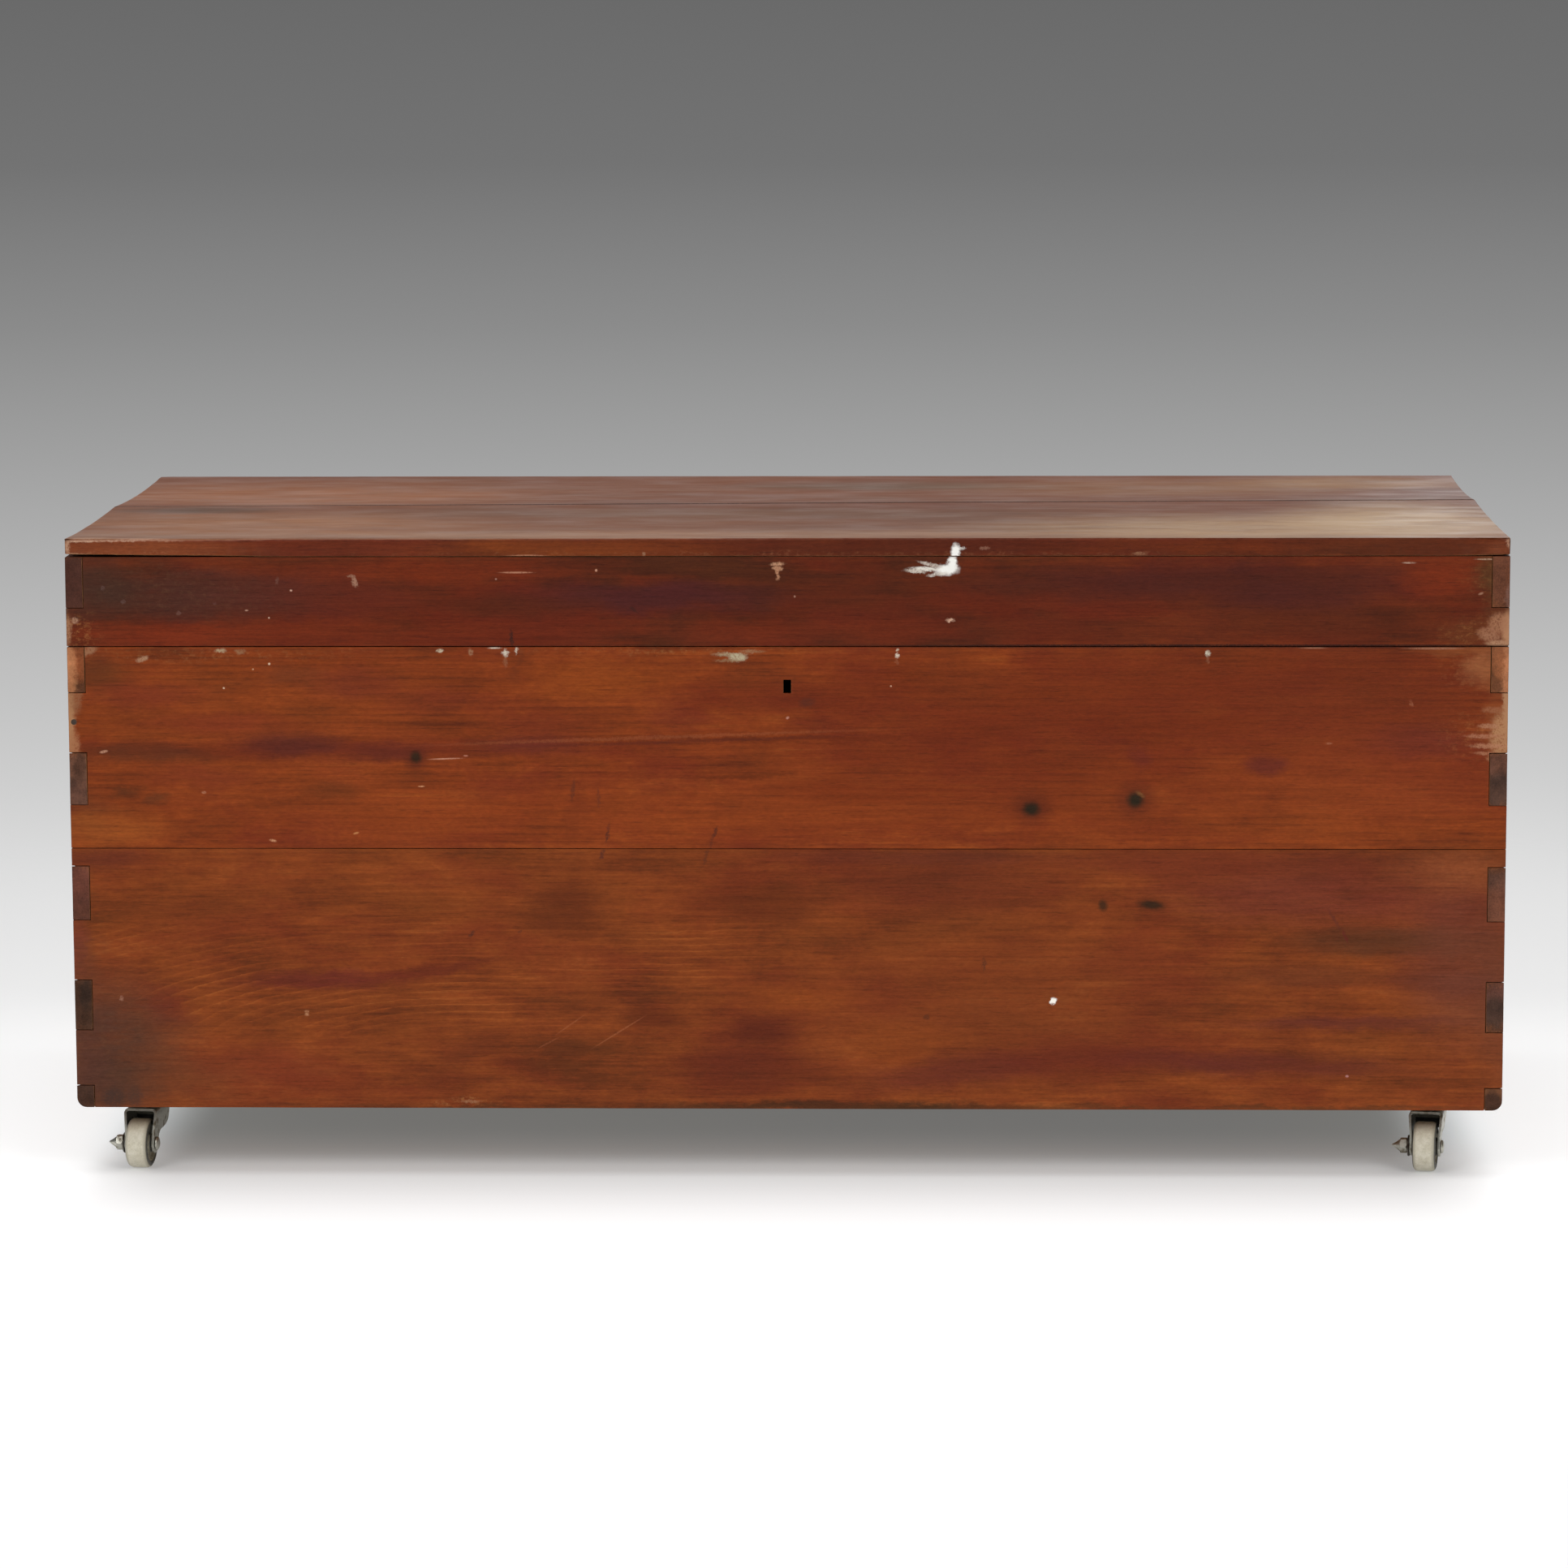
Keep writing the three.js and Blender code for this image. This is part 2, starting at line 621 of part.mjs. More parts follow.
// A board whose section changes evenly from its left end to its right end
function taperedBoard(leftSection, rightSection) {
  const count = leftSection.length;
  const positions = [];
  for (const [y, z] of leftSection) positions.push(-halfWidth, y, z);
  for (const [y, z] of rightSection) positions.push(halfWidth, y, z);
  const triangles = [];
  for (let i = 0; i < count; i += 1) {
    const next = (i + 1) % count;
    triangles.push(i, next, count + next, i, count + next, count + i);
  }
  const contour = leftSection.map(([y, z]) => new THREE.Vector2(y, z));
  for (const [a, b, c] of THREE.ShapeUtils.triangulateShape(contour, [])) {
    triangles.push(a, c, b, count + a, count + b, count + c);
  }
  const geometry = new THREE.BufferGeometry();
  geometry.setAttribute('position', new THREE.Float32BufferAttribute(positions, 3));
  geometry.setIndex(triangles);
  return toSolid(geometry);
}

const halfGap = joinGap / 2;
place(lid, 'lid_top_front_board', taperedBoard(
  cuppedSection(-halfDepth, lidSeamLeft - halfGap, frontCup),
  cuppedSection(-halfDepth, lidSeamRight - halfGap, frontCup)), finishes.topWood);
place(lid, 'lid_top_rear_board', taperedBoard(
  cuppedSection(lidSeamLeft + halfGap, halfDepth, rearCup),
  cuppedSection(lidSeamRight + halfGap, halfDepth, rearCup)), finishes.topWood);

for (const hinge of hingePlaces) {
  const group = new THREE.Group();
  group.position.set(hinge.x, hingeLine, casterHeight + hingeAxisHeight);
  chest.add(group);
  place(group, `hinge_${hinge.name}_lower_leaf`, hingeLeaf(-1), finishes.brass);
  place(group, `hinge_${hinge.name}_upper_leaf`, hingeLeaf(1), finishes.brass);
  place(group, `hinge_${hinge.name}_pin`, hingePin(), finishes.steel);
}

const lock = new THREE.Group();
lock.position.set(...lockAtRim);
box.add(lock);
place(lock, 'lock_plate', lockPlate(), finishes.brass);
place(lock, 'lock_case', lockCase(), finishes.darkSteel);
place(lock, 'lock_bolt', lockBolt(), finishes.darkSteel);

const link = place(lid, 'lock_link_plate', lockLinkPlate(), finishes.brass);
link.position.set(keyholeCentre, -innerHalfDepth, 0);

// Casters, drawn about the swivel axis with the wheel trailing towards -Y

const upperRaceBottom = casterHeight - plateThickness - raceThickness;
const lowerRaceTop = forkCrownHeight + raceThickness;
const ballHeight = (upperRaceBottom + lowerRaceTop) / 2;
const ballRadius = (upperRaceBottom - lowerRaceTop) / 2 - raceClearance;
const hubHalf = wheelWidth / 2;
const legInside = hubHalf + forkSideClearance;
const legOutside = legInside + forkSheet;

function roundedPlate(width, length, corner) {
  const [x, y] = [width / 2, length / 2];
  const shape = new THREE.Shape();
  shape.absarc(x - corner, y - corner, corner, 0, 0.5 * Math.PI, false);
  shape.absarc(-x + corner, y - corner, corner, 0.5 * Math.PI, Math.PI, false);
  shape.absarc(-x + corner, -y + corner, corner, Math.PI, 1.5 * Math.PI, false);
  shape.absarc(x - corner, -y + corner, corner, 1.5 * Math.PI, 2 * Math.PI, false);
  return shape;
}

// Top plate with the upper race and its dust lip
function casterPlate() {
  const plateBottom = casterHeight - plateThickness;
  const lipOutside = raceRadius + lipClearance + lipThickness;
  const race = turnedZ([
    [0, upperRaceBottom],
    [lipOutside - lipThickness, upperRaceBottom],
    [lipOutside - lipThickness, upperRaceBottom - lipDrop],
    [lipOutside, upperRaceBottom - lipDrop],
    [lipOutside, plateBottom + plateThickness / 2],
    [0, plateBottom + plateThickness / 2],
  ], discFacets);
  const holeRadius = overFlats(kingpinRadius + kingpinClearance, boltFacets);
  const headRadius = overFlats(kingpinTopRadius + kingpinClearance, boltFacets);
  const headSeat = casterHeight - kingpinTopLength - 2 * joinGap;
  let plate = prismZ(roundedPlate(plateWidth, plateLength, plateCorner), plateBottom, casterHeight)
    .add(race)
    .subtract(cylinderZ(holeRadius, upperRaceBottom - overrun, casterHeight + overrun, boltFacets))
    .subtract(cylinderZ(headRadius, headSeat, casterHeight + overrun, boltFacets));
  for (const side of [-1, 1]) {
    for (const end of [-1, 1]) {
      const x = side * (plateWidth / 2 - plateHoleMargin);
      const y = end * (plateLength / 2 - plateHoleMargin);
      const hole = cylinderZ(plateHoleRadius, plateBottom - overrun, casterHeight + overrun, boltFacets);
      plate = plate.subtract(hole.translate([x, y, 0]));
    }
  }
  return plate;
}

// Riveted kingpin: head under the fork's crown, spread end in the plate
function kingpin() {
  const headTop = forkCrownHeight - forkSheet - joinGap;
  const topEnd = casterHeight - joinGap;
  return turnedZ([
    [0, headTop - kingpinHeadLength],
    [kingpinHeadRadius - kingpinHeadLength / 2, headTop - kingpinHeadLength],
    [kingpinHeadRadius, headTop - kingpinHeadLength / 2],
    [kingpinHeadRadius, headTop],
    [kingpinRadius, headTop],
    [kingpinRadius, topEnd - kingpinTopLength],
    [kingpinTopRadius, topEnd - kingpinTopLength],
    [kingpinTopRadius, topEnd],
    [0, topEnd],
  ], boltFacets);
}

// Balls held in their flat cage
function ballRing() {
  const [inner, outer] = [ballCircle - cageWidth / 2, ballCircle + cageWidth / 2];
  const [low, high] = [ballHeight - cageThickness / 2, ballHeight + cageThickness / 2];
  let ring = turnedZ([[inner, low], [outer, low], [outer, high], [inner, high], [inner, low]], 2 * ballCount);
  for (let i = 0; i < ballCount; i += 1) {
    const angle = 2 * Math.PI * i / ballCount;
    const ball = new THREE.SphereGeometry(ballRadius, ballFacets, ballRings).rotateX(Math.PI / 2);
    ball.translate(ballCircle * Math.cos(angle), ballCircle * Math.sin(angle), ballHeight);
    ring = ring.add(toSolid(ball));
  }
  return ring;
}

// Pressed fork: a bent channel seen from the front, cut to the leg's outline seen from the side,
// with a web that closes it behind the wheel
function fork() {
  const crownOutside = legOutside + forkSplay;
  const crownInside = legInside + forkSplay;
  const underside = forkCrownHeight - forkSheet;
  const innerBend = forkBend - forkSheet;
  const channel = new THREE.Shape();
  channel.moveTo(legOutside, 0);
  channel.lineTo(legOutside, forkWaist);
  channel.lineTo(crownOutside, forkCrownHeight - forkBend);
  channel.quadraticCurveTo(crownOutside, forkCrownHeight, crownOutside - forkBend, forkCrownHeight);
  channel.lineTo(-crownOutside + forkBend, forkCrownHeight);
  channel.quadraticCurveTo(-crownOutside, forkCrownHeight, -crownOutside, forkCrownHeight - forkBend);
  channel.lineTo(-legOutside, forkWaist);
  channel.lineTo(-legOutside, 0);
  channel.lineTo(-legInside, 0);
  channel.lineTo(-legInside, forkWaist);
  channel.lineTo(-crownInside, underside - innerBend);
  channel.quadraticCurveTo(-crownInside, underside, -crownInside + innerBend, underside);
  channel.lineTo(crownInside - innerBend, underside);
  channel.quadraticCurveTo(crownInside, underside, crownInside, underside - innerBend);
  channel.lineTo(legInside, forkWaist);
  channel.lineTo(legInside, 0);

  const leg = new THREE.Shape();
  leg.moveTo(-forkFront, forkCrownHeight);
  leg.lineTo(-casterTrail - forkLobe, wheelRadius);
  leg.absarc(-casterTrail, wheelRadius, forkLobe, Math.PI, 1.9 * Math.PI, false);
  leg.quadraticCurveTo(-casterTrail + forkLobe, forkWaist, 0, forkWaist);
  leg.quadraticCurveTo(forkRear, forkWaist, forkRear, forkHeel);
  leg.lineTo(forkRear, forkCrownHeight);

  const boreRadius = overFlats(kingpinRadius + kingpinClearance, boltFacets);
  const axleBore = overFlats(axleRadius + axleClearance, boltFacets);
  const seat = forkCrownHeight - forkSheet / 2;
  const webHalf = crownInside + forkSheet / 3;
  const webRear = forkRear - forkWebInset;
  const webFoot = forkCrownHeight - forkWebDrop;
  return prismY(channel, -casterTrail - forkLobe - overrun, forkRear + overrun)
    .intersect(prismX(leg, -crownOutside - overrun, crownOutside + overrun))
    .add(block(-webHalf, webHalf, webRear - forkSheet, webRear, webFoot, seat))
    .add(cylinderZ(raceRadius, seat, lowerRaceTop, discFacets))
    .subtract(cylinderZ(boreRadius, underside - overrun, lowerRaceTop + overrun, boltFacets))
    .subtract(atAxle(cylinderX(axleBore, -crownOutside - overrun, crownOutside + overrun, boltFacets)));
}

function atAxle(solid) {
  return solid.translate([0, -casterTrail, wheelRadius]);
}

function wheel() {
  const bore = overFlats(axleRadius + axleClearance, wheelFacets);
  const tread = overFlats(wheelRadius, wheelFacets);
  const shoulder = (wheelWidth - treadWidth) / 2;
  const sideFace = [
    [bore, hubHalf],
    [hubRadius, hubHalf],
    [hubRadius + wheelRecess / 4, hubHalf - wheelRecess],
    [rimRadius - wheelRecess / 4, hubHalf - wheelRecess],
    [rimRadius, hubHalf - shoulder / 5],
    [tread - shoulderDepth / 3, hubHalf - shoulder / 2],
    [tread, hubHalf - shoulder],
  ];
  const mirrored = sideFace.map(([radius, along]) => [radius, -along]);
  const profile = [...mirrored, ...sideFace.slice().reverse(), mirrored[0]];
  return atAxle(turnedX(profile, wheelFacets));
}

// Axle bolt: round head on the right, threaded end in the cap nut on the left
const headFace = legOutside + joinGap;
const washerFace = -legOutside - joinGap;
const nutFace = washerFace - washerThickness - joinGap;

function axle() {
  const threadEnd = nutFace - nutBoreDepth + joinGap;
  return atAxle(turnedX([
    [0, threadEnd],
    [axleRadius, threadEnd],
    [axleRadius, headFace],
    [axleHeadRadius, headFace],
    [axleHeadRadius, headFace + axleHeadLength / 2],
    [axleHeadRadius - axleHeadLength / 2, headFace + axleHeadLength],
    [0, headFace + axleHeadLength],
  ], boltFacets));
}

function washer() {
  const bore = overFlats(axleRadius + axleClearance, boltFacets);
  const [near, far] = [washerFace, washerFace - washerThickness];
  return atAxle(turnedX([[bore, far], [washerRadius, far], [washerRadius, near], [bore, near], [bore, far]], boltFacets));
}

// Hexagon nut with a pointed cap over the bolt's end
function capNut() {
  const corner = overFlats(nutFlats / 2, hexFacets);
  const hexEnd = nutFace - nutLength;
  const bore = overFlats(axleRadius + axleClearance, boltFacets);
  const hex = turnedX([[0, hexEnd], [corner, hexEnd], [corner, nutFace], [0, nutFace]], hexFacets);
  const cone = turnedX([
    [0, hexEnd - nutConeLength],
    [nutTipRadius, hexEnd - nutConeLength],
    [nutFlats / 2 - nutTipRadius, hexEnd],
    [nutFlats / 2 - nutTipRadius, hexEnd + nutLength / 2],
    [0, hexEnd + nutLength / 2],
  ], boltFacets);
  const threads = cylinderX(bore, nutFace - nutBoreDepth, nutFace + overrun, boltFacets);
  return atAxle(hex.add(cone).subtract(threads));
}

for (const { name, side, end, inset, heading } of casterPlaces) {
  const fixed = new THREE.Group();
  fixed.position.set(side * (halfWidth - inset), end * (halfDepth - casterSetback), 0);
  chest.add(fixed);
  const turning = new THREE.Group();
  turning.rotation.z = -THREE.MathUtils.degToRad(heading);
  fixed.add(turning);
  place(fixed, `caster_${name}_plate`, casterPlate(), finishes.steel);
  place(fixed, `caster_${name}_kingpin`, kingpin(), finishes.steel);
  place(turning, `caster_${name}_ball_ring`, ballRing(), finishes.darkSteel);
  place(turning, `caster_${name}_fork`, fork(), finishes.steel);
  place(turning, `caster_${name}_axle`, axle(), finishes.steel);
  place(turning, `caster_${name}_washer`, washer(), finishes.darkSteel);
  place(turning, `caster_${name}_nut`, capNut(), finishes.steel);
  place(turning, `caster_${name}_wheel`, wheel(), finishes.wheel);
}

export default chest;
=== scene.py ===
import json
import math

import bmesh
import bpy
from mathutils import Matrix, Vector, noise


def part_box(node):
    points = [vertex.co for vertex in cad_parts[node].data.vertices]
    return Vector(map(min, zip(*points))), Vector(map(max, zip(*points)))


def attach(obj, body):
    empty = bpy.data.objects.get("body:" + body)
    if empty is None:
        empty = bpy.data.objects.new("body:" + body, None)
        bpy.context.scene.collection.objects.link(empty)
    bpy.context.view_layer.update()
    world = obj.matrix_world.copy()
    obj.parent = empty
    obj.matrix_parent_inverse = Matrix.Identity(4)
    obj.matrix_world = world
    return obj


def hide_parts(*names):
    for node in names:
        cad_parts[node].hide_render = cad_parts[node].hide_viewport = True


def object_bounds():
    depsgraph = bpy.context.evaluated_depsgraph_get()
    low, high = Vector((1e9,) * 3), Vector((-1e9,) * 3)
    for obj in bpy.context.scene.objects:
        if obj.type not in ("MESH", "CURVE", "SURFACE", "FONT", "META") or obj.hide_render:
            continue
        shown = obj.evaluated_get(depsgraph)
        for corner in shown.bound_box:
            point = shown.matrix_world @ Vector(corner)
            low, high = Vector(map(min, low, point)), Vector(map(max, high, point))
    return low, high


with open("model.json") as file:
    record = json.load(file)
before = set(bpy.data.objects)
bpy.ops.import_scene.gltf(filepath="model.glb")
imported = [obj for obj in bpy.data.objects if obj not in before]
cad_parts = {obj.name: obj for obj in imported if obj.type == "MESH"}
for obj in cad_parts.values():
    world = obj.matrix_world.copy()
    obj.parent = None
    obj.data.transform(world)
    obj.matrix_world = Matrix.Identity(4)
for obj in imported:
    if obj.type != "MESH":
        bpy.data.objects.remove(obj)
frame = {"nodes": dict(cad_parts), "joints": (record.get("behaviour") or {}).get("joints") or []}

mm = 0.001
toMetres = Matrix.Scale(mm, 4)
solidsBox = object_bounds()
joints = {joint["name"]: joint for joint in frame["joints"]}
casterCorners = ("front_left", "front_right", "rear_left", "rear_right")
fourWays = ((-1, -1), (1, -1), (-1, 1), (1, 1))
# heights in the tables of marks are measured with the box's underside 58 mm above the floor
markDrop = 58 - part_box("front_lower_board")[0].z / mm
print("frame loaded:", len(frame["nodes"]), "solids")


# Node tools. They add to the tree of the material that was begun last.

tree = None


def screenColour(r, g, b):  # a colour as it is read on a screen, 0 to 255
    def linear(c):
        return c / 12.92 if c <= 0.04045 else ((c + 0.055) / 1.055) ** 2.4
    return (linear(r / 255), linear(g / 255), linear(b / 255), 1)


def addNode(kind, inputs={}, **settings):
    made = tree.nodes.new("ShaderNode" + kind)
    for name, value in settings.items():
        setattr(made, name, value)
    for name, value in inputs.items():
        if isinstance(value, bpy.types.NodeSocket):
            tree.links.new(value, made.inputs[name])
        else:
            made.inputs[name].default_value = value
    return made


def calc(operation, a, b=0.0, clamp=False):
    return addNode("Math", {0: a, 1: b}, operation=operation, use_clamp=clamp).outputs[0]


def times(first, *others):
    for other in others:
        first = calc("MULTIPLY", first, other)
    return first


def plus(first, *others):
    for other in others:
        first = calc("ADD", first, other)
    return first


def minus(a, b):
    return calc("SUBTRACT", a, b)


def vectorCalc(operation, *vectors):  # gives a number for a length or a distance, else a vector
    made = addNode("VectorMath", dict(enumerate(vectors)), operation=operation)
    return made.outputs["Value" if operation in ("LENGTH", "DISTANCE") else "Vector"]


def remap(value, low, high, newLow=0.0, newHigh=1.0, smooth=False):
    kind = "SMOOTHSTEP" if smooth else "LINEAR"
    inputs = {0: value, 1: low, 2: high, 3: newLow, 4: newHigh}
    return addNode("MapRange", inputs, interpolation_type=kind).outputs[0]


def fadeIn(value, low, high):
    return remap(value, low, high, smooth=True)


def fadeOut(value, low, high):
    return remap(value, low, high, 1.0, 0.0, smooth=True)


def blendColours(factor, a, b, mode="MIX"):
    return addNode("Mix", {0: factor, 6: a, 7: b}, data_type="RGBA", blend_type=mode).outputs[2]


def paint(colour, mask, tone):  # a screen colour laid over another through a mask
    return blendColours(mask, colour, screenColour(*tone))


def tinted(colour, tint):
    return blendColours(1.0, colour, tint, "MULTIPLY")


def colourRamp(value, stops):
    made = addNode("ValToRGB", {0: value})
    elements = made.color_ramp.elements
    while len(elements) < len(stops):
        elements.new(1)
    for element, (position, colour) in zip(elements, stops):
        element.position = position
        element.color = colour
    return made.outputs[0]


def toneRamp(value, low, high, tones):  # tones spread evenly between low and high
    stops = [(i / (len(tones) - 1), screenColour(*tone)) for i, tone in enumerate(tones)]
    return colourRamp(remap(value, low, high), stops)


def noiseOutputs(vector, scale, detail, roughness):
    inputs = {"Vector": vector, "Scale": scale, "Detail": detail, "Roughness": roughness}
    return addNode("TexNoise", inputs).outputs


def noiseValue(vector, scale, detail, roughness=0.5):
    return noiseOutputs(vector, scale, detail, roughness)["Fac"]


def scattered(vector, scale, detail, roughness):  # a noise in three directions, about zero
    cloud = noiseOutputs(vector, scale, detail, roughness)["Color"]
    return vectorCalc("SUBTRACT", cloud, (0.5, 0.5, 0.5))


def nudged(flat, offsets, across, up):  # flat coordinates moved about by a noise, by so many millimetres
    return vectorCalc("MULTIPLY_ADD", offsets, (across * mm, up * mm, 0), flat)


def newMaterial(name):
    global tree
    material = bpy.data.materials.new(name)
    material.use_nodes = True
    tree = material.node_tree
    tree.nodes.clear()
    return material


def surface(inputs, height, depth, strength):  # depth in metres
    bump = addNode("Bump", {"Height": height, "Distance": depth, "Strength": strength})
    shader = addNode("BsdfPrincipled", {**inputs, "Normal": bump.outputs[0]})
    addNode("OutputMaterial", {0: shader.outputs[0]})


def faceVector(along, across):  # a face's own two axes as a flat vector
    return addNode("CombineXYZ", {0: along, 1: across}).outputs[0]


def faceAxes(plane):  # object coordinates, a face's two axes, and both as a vector to lay marks by
    place = addNode("TexCoord").outputs["Object"]
    parts = addNode("SeparateXYZ", {0: place}).outputs
    along, across = [parts["XYZ".index(axis)] for axis in plane]
    measured = plus(across, markDrop * mm) if plane[1] == "Z" else across
    return place, along, across, faceVector(along, measured)


# One mark: (across, up, half width, half height, colour, strength, tilt in degrees).
def tiltOf(mark):  # most marks lie level and leave it out
    return math.radians(mark[6]) if len(mark) > 6 else 0


def markMask(flat, mark, edge):  # as strong as the mark in its middle; edge says how soft its rim is
    across, up, halfWidth, halfHeight = [value * mm for value in mark[:4]]
    inputs = {
        "Vector": flat, "Location": (across, up, 0),
        "Rotation": (0, 0, tiltOf(mark)), "Scale": (halfWidth, halfHeight, 1),
    }
    local = addNode("Mapping", inputs, vector_type="TEXTURE").outputs[0]
    reach = vectorCalc("LENGTH", local)
    return remap(reach, 1 + edge, 1 - edge, 0.0, mark[5], smooth=True)


def paintMarks(colour, marks, flat, edge, through=None):  # through is a noise that breaks them up
    for mark in marks:
        mask = markMask(flat, mark, edge)
        if through is not None:
            mask = times(mask, through)
        colour = paint(colour, mask, mark[4])
    return colour


# How soft each kind of mark is at its rim, how far noise moves it across and up, and how far past its rim
# a zone looks for marks that reach into it
markKinds = {
    "stains": {"edge": 0.7, "stray": (50, 24), "margin": 22},
    "dust": {"edge": 0.8, "stray": (50, 24), "margin": 22},
    "knots": {"edge": 0.6, "stray": (3, 3), "margin": 2},
    "chips": {"edge": 0.45, "stray": (7, 5), "margin": 3},
}
speckSize = 1.3  # a chip with a smaller half width or height keeps its place

# Wood. What a look leaves out is as it stands here.
woodLook = {
    "shift": (0, 0, 0), "stains": [], "knots": [], "dust": [], "chips": [],
    "cloud": 0.9, "mottle": 1.05, "bands": 0.4, "threads": 0.5,  # strength of each noise in the tone
    "apex": (0, -3000), "squeeze": 0.0, "ring": 9, "ringPower": 5.0, "ringShade": -0.12,
    "wander": 0.03, "waver": 0.004,  # how uneven the rings run, in metres
    "zoneEdge": 0.6,  # how softly a zone of stronger rings ends
    "redness": 0.7, "redTone": (106, 40, 28), "brownness": 0.2, "brownTone": (104, 60, 30),
    "varnish": (1, 0.92, 0.78), "streaks": 0.23, "pores": 0.22, "arrisWear": 0.5, "wornTone": (150, 92, 58),
    "gloss": (0.4, 0.55), "specular": 0.12, "relief": 0.45, "reliefDepth": 0.0004, "chipRoughness": 0.75,
    # the ranges that are read from noises and tones
    "toneRange": (0.22, 0.78), "redRange": (0.48, 0.61), "brownRange": (0.46, 0.34), "lineRange": (0.3, 0.7),
    "stainRange": (0.36, 0.58, 0.6, 1.0), "glossRange": (0.35, 0.65),
}
# Its noises: length along the grain, scale, detail, roughness, and for some the range that is read from it
woodNoises = {
    "cloud": (0.45, 5, 3, 0.5),
    "mottle": (0.42, 30, 7, 0.7),
    "band": (0.14, 60, 3, 0.55),
    "thread": (0.025, 240, 4, 0.7),
    "streak": (0.04, 520, 3, 0.65),
    "fibre": (0.3, 900, 2, 0.6),
    "pores": (0.08, 620, 2, 0.7, 0.6, 0.72),
    "hue": (0.4, 15, 7, 0.66),
    "ringWander": (0.3, 8, 3, 0.5),
    "ringFade": (0.4, 16, 3, 0.5, 0.42, 0.62, 0.15, 1.0),
    "drift": (0.45, 48, 7, 0.72),
    "jitter": (1, 330, 4, 0.7),
    "dust": (0.7, 240, 4, 0.75, 0.5, 0.74),
    "rubbed": (1, 130, 4, 0.65, 0.4, 0.6),
    "flecks": (1, 700, 3, 0.7, 0.36, 0.52, 0.35, 1.0),
    "gloss": (0.35, 40, 4, 0.6),
}


# A look says which way the grain runs, its tones from dark to light, and its marks.
def woodMaterial(name, look):
    look = {**woodLook, **look}
    material = newMaterial(name)
    coordinates, along, across, flat = faceAxes(look["plane"])
    place = vectorCalc("ADD", coordinates, look["shift"])
    grainAxis = "XYZ".index(look["plane"][0])

    def woodNoise(key, kind=noiseValue):
        length, scale, detail, roughness, *span = woodNoises[key]
        vector = place
        if length != 1:  # drawn out along the grain
            factors = tuple(length if i == grainAxis else 1 for i in range(3))
            vector = addNode("Mapping", {"Vector": place, "Scale": factors}).outputs[0]
        value = kind(vector, scale, detail, roughness)
        return remap(value, *span) if span else value

    def centred(value, amount):
        return times(minus(value, 0.5), amount)

    # tones: slow cloud, mottling, short figure and fine streaks
    cloud, mottle, band, thread, streak, fibre, pores, hue = [
        woodNoise(key) for key in ("cloud", "mottle", "band", "thread", "streak", "fibre", "pores", "hue")]

    # growth rings: faint lines, straight or bent round an apex
    apexAlong, apexAcross = [value * mm for value in look["apex"]]
    side = times(calc("MINIMUM", minus(along, apexAlong), 0.0), look["squeeze"])
    rise = plus(minus(across, apexAcross), centred(woodNoise("ringWander"), look["wander"]))
    radius = vectorCalc("LENGTH", faceVector(side, rise))
    radius = plus(radius, centred(mottle, look["waver"]))
    phase = calc("FRACT", calc("DIVIDE", radius, look["ring"] * mm))
    ringLine = calc("POWER", phase, look["ringPower"])
    ringFade = woodNoise("ringFade")
    if "ringZone" in look:
        ringFade = times(ringFade, markMask(flat, look["ringZone"], look["zoneEdge"]))
    ringLine = times(ringLine, ringFade)

    tone = plus(centred(cloud, look["cloud"]), centred(mottle, look["mottle"]), centred(band, look["bands"]),
                centred(thread, look["threads"]), times(ringLine, look["ringShade"]), 0.5)
    colour = toneRamp(tone, *look["toneRange"], look["tones"])
    colour = paint(colour, remap(hue, *look["redRange"], 0.0, look["redness"]), look["redTone"])
    colour = paint(colour, remap(hue, *look["brownRange"], 0.0, look["brownness"]), look["brownTone"])

    # soft stains, ragged along the grain
    drifted = nudged(flat, woodNoise("drift", scattered), *markKinds["stains"]["stray"])
    broken = calc("ADD", remap(mottle, *look["stainRange"]), centred(streak, 0.5), clamp=True)
    colour = paintMarks(colour, look["stains"], drifted, markKinds["stains"]["edge"], broken)
    jitter = woodNoise("jitter", scattered)
    knotted = nudged(flat, jitter, *markKinds["knots"]["stray"])
    colour = paintMarks(colour, look["knots"], knotted, markKinds["knots"]["edge"])
    # pale dust and fine speckle, thickest inside its own patches
    colour = paintMarks(colour, look["dust"], drifted, markKinds["dust"]["edge"], woodNoise("dust"))
    colour = tinted(colour, (*look["varnish"], 1))

    # fine dark streaks and pores
    lines = plus(times(streak, 0.55), times(fibre, 0.45))
    lightness = remap(lines, *look["lineRange"], 1 - look["streaks"], 1 + look["streaks"])
    lightness = times(lightness, remap(pores, 0, 1, 1.0, 1 - look["pores"]))
    grey = addNode("CombineColor", {0: lightness, 1: lightness, 2: lightness}).outputs[0]
    colour = tinted(colour, grey)

    # worn arrises, from the vertex attribute that the boards carry
    wear = addNode("Attribute", attribute_name="wear").outputs["Fac"]
    wear = calc("MULTIPLY", wear, woodNoise("rubbed"), clamp=True)
    colour = paint(colour, times(wear, look["arrisWear"]), look["wornTone"])

    # crisp chips, scratches and paint, ragged at their rims
    ragged = nudged(flat, jitter, *markKinds["chips"]["stray"])
    flecks = woodNoise("flecks")
    chipped = None
    for mark in look["chips"]:
        speck = min(mark[2], mark[3]) < speckSize
        mask = markMask(flat if speck else ragged, mark, markKinds["chips"]["edge"])
        if mark[5] < 1:
            mask = times(mask, flecks)
        colour = paint(colour, mask, mark[4])
        chipped = mask if chipped is None else calc("MAXIMUM", chipped, mask)

